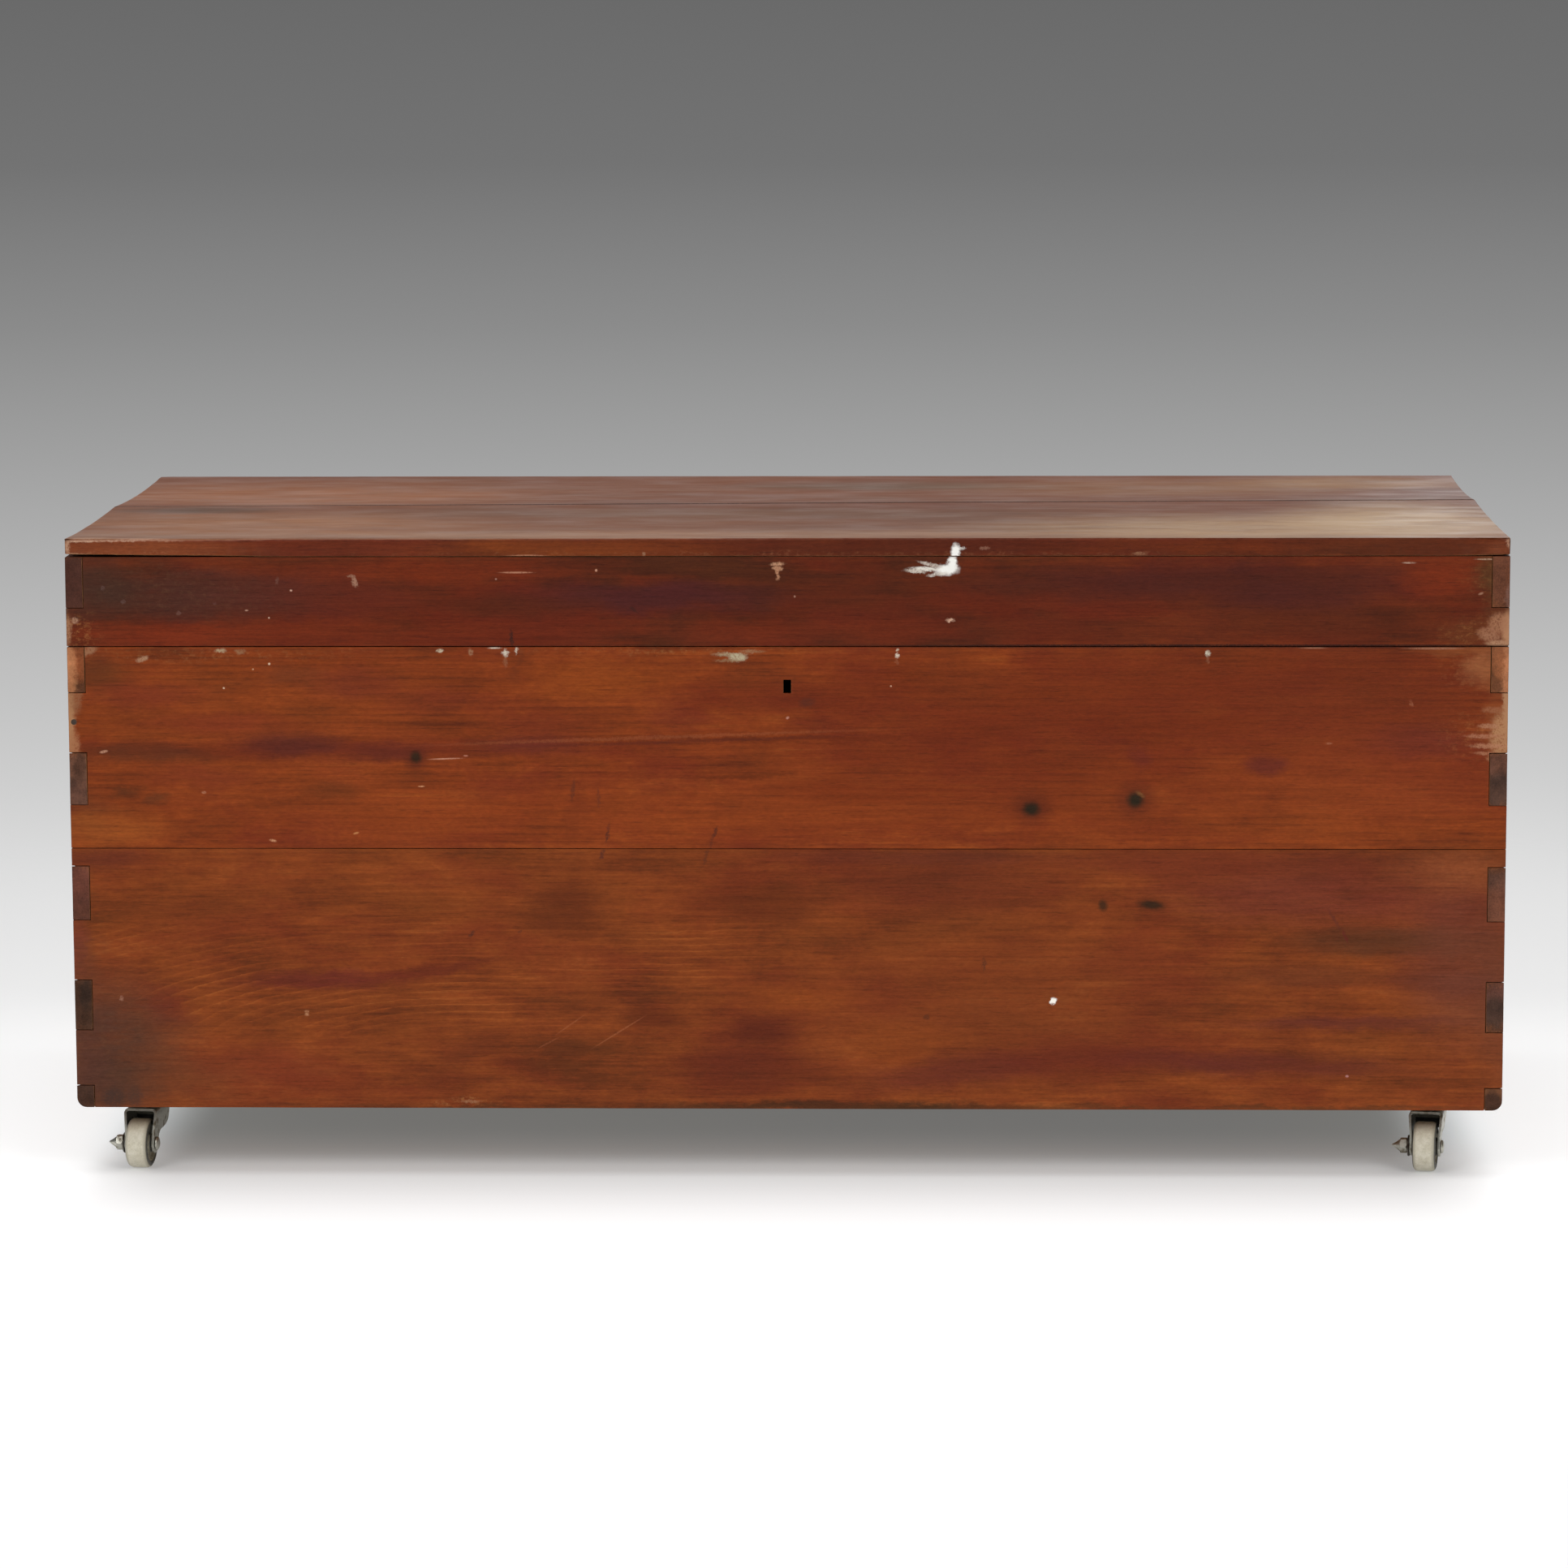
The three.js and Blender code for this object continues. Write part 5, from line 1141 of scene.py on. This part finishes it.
caster = {
    "trail": 20, "wheelRadius": 20, "wheelHalf": 9.7, "treadHalf": 6.7, "hubRadius": 7, "rimRadius": 15,
    "recess": 3.6, "axleRadius": 3, "bore": 3.3, "headRadius": 5.4, "headLength": 2.7, "threadLength": 6,
    "washerRadius": 8.6, "washerThickness": 1.5, "nutFlats": 11.4, "nutLength": 6, "coneLength": 6.7,
    "sheet": 2.1, "legInside": 10.2, "splay": 1.4, "bend": 4, "crown": 48.6, "front": 21, "rear": 19,
    "lobe": 8, "waist": 28.5, "heel": 36.4, "raceRadius": 15, "raceThickness": 0.9, "plateTop": 56.4,
    "plateThickness": 2, "plateWidth": 44, "plateLength": 60, "plateCorner": 6, "holeInset": 7,
    "screwHole": 2.4, "screwAt": (15, 23), "ballCircle": 11.8, "ballCount": 8, "cageHalf": 2.3,
    "cageThickness": 1.1, "lipDrop": 2.2, "lipThickness": 1.1, "lipClearance": 0.5, "kingpin": 4,
    "kingpinBore": 4.4, "kingpinRivet": 5.6, "gap": 0.3, "webDrop": 18.8, "webInset": 9,
    # the kingpin's head under the crown, and the nut's pointed cap: (radius, drop) and (radius, distance)
    "kingpinHead": [(0, 1.8), (2.4, 1.7), (4.6, 1.2), (6, 0.2), (6, 0)],
    "nutCone": [(2.6, -3.2), (4.6, -0.6), (5, 0.2), (0, 1)],
}


def ontoAxle(shape, c):  # moves what was drawn about the axle to where it stands
    shape.transform(Matrix.Translation((0, -c["trail"], c["wheelRadius"])))
    return shape


def casterWheel(c):
    half, face, radius = c["wheelHalf"], c["wheelHalf"] - c["recess"], c["wheelRadius"]
    side = [
        (c["bore"], half), (c["hubRadius"], half), (c["hubRadius"] + 1, face),
        (c["rimRadius"] - 1, face), (c["rimRadius"], half - 0.5), (c["rimRadius"] + 2.2, half - 0.5),
        (radius - 0.7, half - 1.6), (radius, c["treadHalf"] - 0.8),
    ]
    profile = softened([(r, -a) for r, a in side] + [(radius, 0)] + side[::-1], 0.9)
    return ontoAxle(turned([*profile, profile[0]], "X", 72), c)


def casterFork(c):
    outside, inside = c["legInside"] + c["sheet"], c["legInside"]
    crownOut, crownIn = outside + c["splay"], inside + c["splay"]
    under, innerBend, top = c["crown"] - c["sheet"], c["bend"] - c["sheet"], c["crown"]
    right = [(outside, 0), (outside, c["waist"]), (crownOut, top - c["bend"])]
    right += arcPoints(crownOut - c["bend"], top - c["bend"], c["bend"], 0, 90, 8)[1:]
    inner = [(inside, 0), (inside, c["waist"]), (crownIn, under - innerBend)]
    inner += arcPoints(crownIn - innerBend, under - innerBend, innerBend, 0, 90, 6)[1:]
    outline = right + [(-u, v) for u, v in right[::-1]] + [(-u, v) for u, v in inner] + inner[::-1]
    channel = prism(outline, "XZ", -c["trail"] - c["lobe"] - 4, c["rear"] + 4)
    side = [(-c["front"], top + 0.5), (-c["front"], top - 1)]
    side += arcPoints(-c["trail"], c["wheelRadius"], c["lobe"], 180, 342, 20)
    side += curvePoints(side[-1], (-c["trail"] + c["lobe"], c["waist"]), (0, c["waist"]), 8)[1:]
    side += curvePoints((0, c["waist"]), (c["rear"], c["waist"]), (c["rear"], c["heel"]), 10)[1:]
    side += [(c["rear"], top + 0.5)]
    shape = combine(channel, prism(side, "YZ", -crownOut - 4, crownOut + 4), "INTERSECT")
    shape = combine(shape, rod(c["kingpinBore"], under - 4, top + 4), "DIFFERENCE")
    shape = combine(shape, ontoAxle(rod(c["bore"], -20, 20, "X", 32), c), "DIFFERENCE")
    webRear, webHalf = c["rear"] - c["webInset"], crownIn + c["sheet"] / 3
    webFront = webRear - c["sheet"]
    web = prism(rectangle(-webHalf, webHalf, top - c["webDrop"], top - 1), "XZ", webFront, webRear)
    shape = combine(shape, web, "UNION")
    roundEdges(shape, 0.4, shortest=0.3, fromAngle=45)
    for face in shape.faces:  # the web between the legs takes the second material, painted near black as shade
        at = face.calc_center_median()
        onWeb = abs(at.x) < inside and webFront - 0.1 < at.y < webRear + 0.1 and at.z < under
        face.material_index = int(onWeb)
    lathe(shape, ringProfile(c["kingpinBore"], c["raceRadius"], top - 0.2, top + c["raceThickness"]))
    return shape


def casterPlate(c):
    top, bottom = c["plateTop"], c["plateTop"] - c["plateThickness"]
    shape = prism(roundedRectangle(c["plateWidth"], c["plateLength"], c["plateCorner"]), "XY", bottom, top)
    for su in (-1, 1):
        for sv in (-1, 1):
            hole = rod(c["screwHole"], bottom - 4, top + 4, "Z", 24)
            at = (su * (c["plateWidth"] / 2 - c["holeInset"]), sv * (c["plateLength"] / 2 - c["holeInset"]), 0)
            hole.transform(Matrix.Translation(at))
            shape = combine(shape, hole, "DIFFERENCE")
    roundEdges(shape, 0.35, shortest=0.3, fromAngle=45)
    race, bore = bottom - c["raceThickness"], c["kingpinBore"]
    lipInside = c["raceRadius"] + c["lipClearance"]
    lipOutside, lipEnd = lipInside + c["lipThickness"], race - c["lipDrop"]
    dish = [(bore, bottom), (bore, race), (lipInside, race), (lipInside, lipEnd), (lipOutside, lipEnd),
            (lipOutside, race + 0.2), (lipOutside + 1.2, bottom), (bore, bottom)]
    lathe(shape, softened(dish, 0.5, 3))
    return shape


def casterBalls(c):
    low = c["crown"] + c["raceThickness"]
    high = c["plateTop"] - c["plateThickness"] - c["raceThickness"]
    middle, radius, half = (low + high) / 2, (high - low) / 2 - 0.1, c["cageThickness"] / 2
    inner, outer = c["ballCircle"] - c["cageHalf"], c["ballCircle"] + c["cageHalf"]
    shape = turned(ringProfile(inner, outer, middle - half, middle + half))
    for i in range(c["ballCount"]):
        angle = 2 * math.pi * i / c["ballCount"]
        at = Matrix.Translation((c["ballCircle"] * math.cos(angle), c["ballCircle"] * math.sin(angle), middle))
        bmesh.ops.create_uvsphere(shape, u_segments=20, v_segments=12, radius=radius, matrix=at)
    return shape


def casterKingpin(c):
    under = c["crown"] - c["sheet"] - c["gap"]
    end = c["plateTop"] - c["gap"]
    rivet, low = c["kingpinRivet"], end - 0.8
    profile = [(radius, under - drop) for radius, drop in c["kingpinHead"]]
    profile += [(c["kingpin"], under), (c["kingpin"], low), (rivet, low), (rivet, end), (0, end)]
    return turned(softened(profile, 0.5, 3))


def casterAxle(c):
    face = c["legInside"] + c["sheet"] + c["gap"]
    threadEnd = -face - c["washerThickness"] - c["gap"] - c["threadLength"]
    r, length = c["headRadius"], c["headLength"]
    dome = [(r * math.cos(math.radians(a)), face + 0.8 + (length - 0.8) * math.sin(math.radians(a)))
            for a in range(0, 90, 15)]
    return ontoAxle(turned([
        (0, threadEnd), (c["axleRadius"], threadEnd), (c["axleRadius"], face), (r - 0.3, face),
        (r, face + 0.3), *dome, (0, face + length)], "X"), c)


def casterWasher(c):
    near, radius = -(c["legInside"] + c["sheet"] + c["gap"]), c["washerRadius"]
    far = near - c["washerThickness"]
    return ontoAxle(turned([
        (c["bore"], far), (radius - 0.3, far), (radius, far + 0.3), (radius, near - 0.3),
        (radius - 0.3, near), (c["bore"], near), (c["bore"], far)], "X"), c)


def casterNut(c):
    face = -(c["legInside"] + c["sheet"] + 2 * c["gap"] + c["washerThickness"])
    end, tip = face - c["nutLength"], face - c["nutLength"] - c["coneLength"]
    flat = c["nutFlats"] / 2
    corner = flat / math.cos(math.radians(30))
    hexagon = arcPoints(0, 0, corner, 0, 300, 5)
    trimmer = turned([  # takes off the corners, as on a real nut
        (0, end - 1), (flat - 0.2, end - 1), (flat - 0.2, end), (corner + 0.2, end + 1.1),
        (corner + 0.2, face - 1.1), (flat - 0.1, face), (0, face)], "X", 64)
    shape = combine(prism(hexagon, "YZ", end, face), trimmer, "INTERSECT")
    roundEdges(shape, 0.18, shortest=0.2, fromAngle=35)
    cone = [(0, tip), (0.7, tip + 0.3)] + [(radius, end + along) for radius, along in c["nutCone"]]
    lathe(shape, softened(cone, 0.6), "X")
    return ontoAxle(shape, c)


def screwShape(radius, height, slotWidth=0.9):
    # domed, slotted head, drawn about its seat at z = 0 and rising along +Z
    dome = [(radius * math.cos(math.radians(a)), height * (0.35 + 0.65 * math.sin(math.radians(a))))
            for a in range(0, 90, 15)]
    head = turned([(0, -0.6), (radius * 0.9, -0.6), (radius, 0), *dome, (0, height)], "Z", 40)
    half, reach = slotWidth / 2, radius + 1
    slot = prism(rectangle(-reach, reach, -half, half), "XY", height * 0.45, height + 1)
    return combine(head, slot, "DIFFERENCE")


def screwMesh(name, shape, material):
    facesOut(shape)
    shape.transform(toMetres)
    return meshOf(name, shape, [material], sharpAngle=35)


def placeScrews(name, mesh, spots, facing, turns, body):
    # spots in millimetres; facing is the way the heads look; turns: the first slot's angle and the step
    aim = Vector(facing).to_track_quat("Z", "Y").to_matrix().to_4x4()
    for i, at in enumerate(spots):
        piece = addObject(f"{name}_{i + 1}", mesh)
        turn = Matrix.Rotation(math.radians(turns[0] + turns[1] * i), 4, "Z")
        piece.matrix_world = Matrix.Translation(Vector(at) * mm) @ aim @ turn
        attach(piece, body)


plateScrew = screwMesh("plateScrew", screwShape(4, 1.5), zincSteel)
hingeScrew = screwMesh("hingeScrew", screwShape(2.7, 0.24, 0.7), agedBrass)
lockScrew = screwMesh("lockScrew", screwShape(2.6, 0.5, 0.7), agedBrass)

casterParts = {
    "wheel": (casterWheel, [wheelCream], "roller", "wheel_plastic"),
    "fork": (casterFork, [zincSteel, webShadeSteel], "swivel", "bright_steel"),
    "axle": (casterAxle, [zincSteel], "swivel", "bright_steel"),
    "washer": (casterWasher, [darkSteel], "swivel", "dark_steel"),
    "nut": (casterNut, [zincSteel], "swivel", "bright_steel"),
    "ball_ring": (casterBalls, [darkSteel], "swivel", "dark_steel"),
    "plate": (casterPlate, [zincSteel], "box", "bright_steel"),
    "kingpin": (casterKingpin, [zincSteel], "box", "bright_steel"),
}
for corner in casterCorners:
    swivelAt = joints[f"{corner}_swivel_turn"]["pos_m"]
    axisX, axisY, _ = joints[f"{corner}_wheel_spin"]["axis"]
    stand = Matrix.Translation((swivelAt[0], swivelAt[1], 0))
    turning = stand @ Matrix.Rotation(math.atan2(axisY, axisX), 4, "Z")
    for part, (build, materials, group, slot) in casterParts.items():
        shape = build(caster)
        facesOut(shape)
        shape.transform((stand if group == "box" else turning) @ toMetres)
        body = "box" if group == "box" else f"{corner}_{group}"
        finishPiece(f"{corner}_{part}_shaped", shape, materials, body, [f"caster_{corner}_{part}"])
    aside, along = caster["screwAt"]
    spots = [(swivelAt[0] / mm + su * aside, swivelAt[1] / mm + sv * along,
              caster["plateTop"] - caster["plateThickness"]) for su, sv in fourWays]
    placeScrews(f"{corner}_plate_screw", plateScrew, spots, (0, 0, -1), (35, 50), "box")
print("casters made")


# Hinges: leaves with round knuckles, pins and countersunk screws

hinge = {"length": 76, "width": 12.5, "sheet": 2, "corner": 0.8, "radius": 3.05, "bore": 1.7, "standoff": 0.3,
         "knuckles": 5, "gap": 0.4, "near": 0.3, "pin": 1.5, "pinHead": 2.5, "pinTip": 1.6,
         "pinHeadLength": 1.6, "screws": (-27, 0, 27)}
hingeAxis = [value / mm for value in joints["lid_hinge"]["pos_m"]]


def hingeLeaf(h, up):
    near, far = h["near"], h["near"] + h["sheet"]
    low, high = (near, far) if up > 0 else (-far, -near)
    edge = -h["radius"] - h["standoff"]
    outline = roundedRectangle(h["length"], h["width"], h["corner"], 3)
    shape = prism([(u, v + edge - h["width"] / 2) for u, v in outline], "XY", low, high)
    roundEdges(shape, 0.25, shortest=0.2, fromAngle=45)
    pitch = h["length"] / h["knuckles"]
    half = (pitch - h["gap"]) / 2
    for i in range(0 if up < 0 else 1, h["knuckles"], 2):  # the two leaves take turns
        x = (i + 0.5) * pitch - h["length"] / 2
        lathe(shape, softened(ringProfile(h["bore"], h["radius"], x - half, x + half), 0.35, 3), "X", 40)
        tongue = meshOf("tongue", prism(rectangle(x - half, x + half, edge - 0.4, -0.8), "XY", low, high))
        shape.from_mesh(tongue)
        bpy.data.meshes.remove(tongue)
    return shape


def hingePin(h):
    end = (h["length"] + h["gap"]) / 2
    tip = end + h["pinHeadLength"]
    half = [(h["pin"], end), (h["pinHead"], end), (h["pinTip"], tip - 0.15), (0, tip)]
    return turned(softened([(r, -a) for r, a in half[::-1]] + half, 0.4, 3), "X", 32)


for name in ("left", "right"):
    low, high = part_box(f"hinge_{name}_pin")
    hingeX = (low.x + high.x) / 2 / mm
    stand = Matrix.Translation(Vector((hingeX, hingeAxis[1], hingeAxis[2])) * mm) @ toMetres
    for part, shape, body, material, slot in (
            ("lower_leaf", hingeLeaf(hinge, -1), "box", agedBrass, "hinge_brass"),
            ("upper_leaf", hingeLeaf(hinge, 1), "lid", agedBrass, "hinge_brass"),
            ("pin", hingePin(hinge), "box", zincSteel, "bright_steel")):
        facesOut(shape)
        shape.transform(stand)
        finishPiece(f"hinge_{name}_{part}_shaped", shape, [material], body, [f"hinge_{name}_{part}"])
    y = hingeAxis[1] - hinge["radius"] - hinge["standoff"] - hinge["width"] / 2
    for level, up, turns, body in (("lower", -1, (20, 65), "box"), ("upper", 1, (70, 40), "lid")):
        spots = [(hingeX + offset, y, hingeAxis[2] + up * hinge["near"]) for offset in hinge["screws"]]
        placeScrews(f"hinge_{name}_{level}_screw", hingeScrew, spots, (0, 0, -up), turns, body)
print("hinges made")


# Lock: the solids' own shapes with their edges eased, and screws

lock = {"eased": 0.15, "screwAt": (36, 19), "linkScrewAt": 24}
lockParts = {
    "lock_plate": ("box", lockBrass, "hinge_brass"),
    "lock_case": ("box", lockSteel, "dark_steel"),
    "lock_bolt": ("bolt", darkSteel, "dark_steel"),
    "lock_link_plate": ("lid", agedBrass, "hinge_brass"),
}
for node, (body, material, slot) in lockParts.items():
    shape = solidCopy(node)
    roundEdges(shape, lock["eased"] * mm, shortest=0.8 * mm, fromAngle=50)
    finishPiece(node + "_eased", shape, [material], body, [node])
low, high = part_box("lock_plate")
spots = [((low.x + high.x) / 2 / mm + su * lock["screwAt"][0], high.y / mm,
          (low.z + high.z) / 2 / mm + sv * lock["screwAt"][1]) for su, sv in fourWays]
placeScrews("lock_screw", lockScrew, spots, (0, 1, 0), (25, 70), "box")
low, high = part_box("lock_link_plate")
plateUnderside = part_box("lid_front_rail")[0].z / mm
spots = [((low.x + high.x) / 2 / mm + su * lock["linkScrewAt"], (low.y + high.y) / 2 / mm, plateUnderside)
         for su in (-1, 1)]
placeScrews("link_screw", hingeScrew, spots, (0, 0, -1), (15, 60), "lid")
print("lock made")


# Pegs and nails in the front: (across, up, radius)
pegs = {"at": ((-475.7, 65.3, 2.6), (-570.5, 190, 1.7), (-570.5, 373, 2.6)), "length": 6, "proud": 0.12}
frontFace = solidsBox[0].y / mm
for i, (x, z, radius) in enumerate(pegs["at"]):
    end = -pegs["length"]
    shape = turned([(0, end), (radius, end), (radius, -0.25), (radius - 0.3, 0), (0, 0)], "Z", 24)
    facesOut(shape)
    turn = Matrix.Rotation(math.radians(90), 4, "X")
    at = Vector((x, frontFace + pegs["proud"], z - markDrop)) * mm
    shape.transform(Matrix.Translation(at) @ turn @ toMetres)
    finishPiece(f"front_peg_{i + 1}", shape, [darkPeg], "box")
print("pegs made")


# Floor, background, light

# The studio backdrop is dark grey at eye level and white towards the floor: (rise of the view, grey)
backdrop = {"greys": [(-0.2253, 253), (-0.1965, 242), (-0.1383, 200), (-0.0886, 161), (-0.0649, 139),
                      (-0.0358, 115), (-0.0066, 106)], "from": -0.3, "to": 0.0, "ambient": 0.36}


def greyRamp(value, low, high, greys):
    stops = [((at - low) / (high - low), screenColour(grey, grey, grey)) for at, grey in greys]
    return colourRamp(remap(value, low, high), stops)


world = bpy.context.scene.world or bpy.data.worlds.new("studio")
bpy.context.scene.world = world
world.use_nodes = True
tree = world.node_tree
tree.nodes.clear()
rise = addNode("SeparateXYZ", {0: addNode("TexCoord").outputs["Generated"]}).outputs[2]
shade = greyRamp(rise, backdrop["from"], backdrop["to"], backdrop["greys"])
seen = addNode("LightPath").outputs
shown = calc("MAXIMUM", seen["Is Glossy Ray"], seen["Is Transmission Ray"])
shown = calc("MAXIMUM", seen["Is Camera Ray"], shown)
ambient = addNode("Background", {"Color": (1, 1, 1, 1), "Strength": backdrop["ambient"]})
pictured = addNode("Background", {"Color": shade, "Strength": 1.0})
both = addNode("MixShader", {0: shown, 1: ambient.outputs[0], 2: pictured.outputs[0]})
addNode("OutputWorld", {0: both.outputs[0]})

# The floor is as bright as the backdrop behind it, with a soft shade of its own under the chest.
# Distances are in metres from the chest's middle; a pair is where a thing starts to fade and where it has gone.
floorLook = {
    "radius": 2.6, "fade": (0.9, 2.2), "from": -1.5, "to": 2.5,
    "greys": [(-1.2, 238), (-0.41, 247), (0.24, 236), (0.64, 228), (1.68, 214), (2.36, 204)],  # by depth
    "underAcross": (0.49, 0.58), "underDeep": (0.07, 0.51), "openShade": (0.66, 0.66, 0.66, 1),
    "underShade": (0.56, 0.56, 0.56, 1), "glow": (0.162, 0.52),
    "tint": (0.64, 0.99, 1.14, 1), "tintAcross": (0.5, 0.61), "tintDeep": (0.06, 0.27),
    "besideGlow": 0.15, "besideFrom": (0.54, 0.6), "besideTo": (0.62, 1.0), "besideDeep": (0.25, 0.6),
    "contact": (0.0, 0.068), "contactShade": 0.3,
}


def floorMaterial(look):
    material = newMaterial("paleFloor")
    place = addNode("TexCoord").outputs["Object"]
    parts = addNode("SeparateXYZ", {0: place}).outputs
    across, deep = [calc("ABSOLUTE", parts[axis]) for axis in (0, 1)]
    fade = fadeIn(vectorCalc("LENGTH", place), *look["fade"])
    pale = greyRamp(parts[1], look["from"], look["to"], look["greys"])
    under = times(fadeOut(across, *look["underAcross"]), fadeOut(deep, *look["underDeep"]))
    clearOfChest = minus(1.0, under)
    shade = blendColours(clearOfChest, look["underShade"], look["openShade"])
    # a cool tint under the chest, painted to cancel the warm light that bounces off its wood
    tint = times(fadeOut(across, *look["tintAcross"]), fadeOut(deep, *look["tintDeep"]))
    shade = blendColours(tint, shade, look["tint"], "MULTIPLY")
    matt = addNode("BsdfDiffuse", {"Color": tinted(pale, shade)})
    contact = 0.0
    for corner in casterCorners:
        low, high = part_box(f"caster_{corner}_wheel")
        gap = vectorCalc("DISTANCE", place, ((low.x + high.x) / 2, (low.y + high.y) / 2, 0))
        near = fadeOut(gap, *look["contact"])
        contact = plus(contact, times(near, near))
    beside = times(fadeIn(across, *look["besideFrom"]), fadeOut(across, *look["besideTo"]),
                   fadeOut(deep, *look["besideDeep"]), look["besideGlow"])
    strength = plus(remap(clearOfChest, 0, 1, *look["glow"]), beside)
    strength = times(strength, plus(1.0, times(contact, -look["contactShade"])))
    glow = addNode("Emission", {"Color": pale, "Strength": strength})
    lit = addNode("AddShader", {0: matt.outputs[0], 1: glow.outputs[0]})
    clear = addNode("BsdfTransparent")
    both = addNode("MixShader", {0: fade, 1: lit.outputs[0], 2: clear.outputs[0]})
    addNode("OutputMaterial", {0: both.outputs[0]})
    return material


shape = bmesh.new()
bmesh.ops.create_circle(shape, cap_ends=True, segments=96, radius=floorLook["radius"])
floor = addObject("floor", meshOf("floor", shape, [floorMaterial(floorLook)]))

# Softboxes, in metres: place, what they look at, width and height, watts
softboxes = {
    "overhead": ((0, -0.3, 3.2), (0, 0, 0), (3.2, 2.4), 50),
    "front left": ((-2.2, -3.2, 2.6), (0, 0, 0.25), (1.8, 1.4), 48),
    "front right": ((2.2, -3.2, 2.6), (0, 0, 0.25), (1.8, 1.4), 48),
    "behind": ((0, 3.2, 1.1), (0, 0, 0.5), (4.5, 1.1), 6),
    "behind right": ((1.3, 3.0, 1.0), (0.4, 0, 0.5), (1.2, 0.9), 4),
}
for name, (at, aim, size, watts) in softboxes.items():
    light = bpy.data.lights.new(name, "AREA")
    light.shape, light.size, light.size_y = "RECTANGLE", size[0], size[1]
    light.energy = watts
    lamp = addObject(name, light)
    lamp.location = at
    lamp.rotation_euler = (Vector(aim) - Vector(at)).to_track_quat("-Z", "Y").to_euler()
    lamp.visible_camera = False

# Camera, at the place the photograph was taken from
cameraLook = {"azimuth": 1.873, "elevation": 8.506, "roll": -0.242, "lens": 126.28, "sensor": 36,
              "distance": 4668.8, "target": (-9.857, -3.295, 281.555)}
camera = addObject("camera", bpy.data.cameras.new("camera"))
azimuth, elevation, roll = (math.radians(cameraLook[key]) for key in ("azimuth", "elevation", "roll"))
back = Vector((math.sin(azimuth) * math.cos(elevation), -math.cos(azimuth) * math.cos(elevation),
               math.sin(elevation)))
level = Vector((math.cos(azimuth), math.sin(azimuth), 0))
upright = back.cross(level)
right = level * math.cos(roll) + upright * math.sin(roll)
up = upright * math.cos(roll) - level * math.sin(roll)
camera.matrix_world = Matrix.LocRotScale(
    (Vector(cameraLook["target"]) + back * cameraLook["distance"]) * mm,
    Matrix((right, up, back)).transposed(), None)
camera.data.lens, camera.data.sensor_width = cameraLook["lens"], cameraLook["sensor"]
camera.data.clip_start, camera.data.clip_end = 0.1, 100
bpy.context.scene.camera = camera
bpy.context.scene.view_settings.view_transform = "Standard"
print("floor, light and camera set")
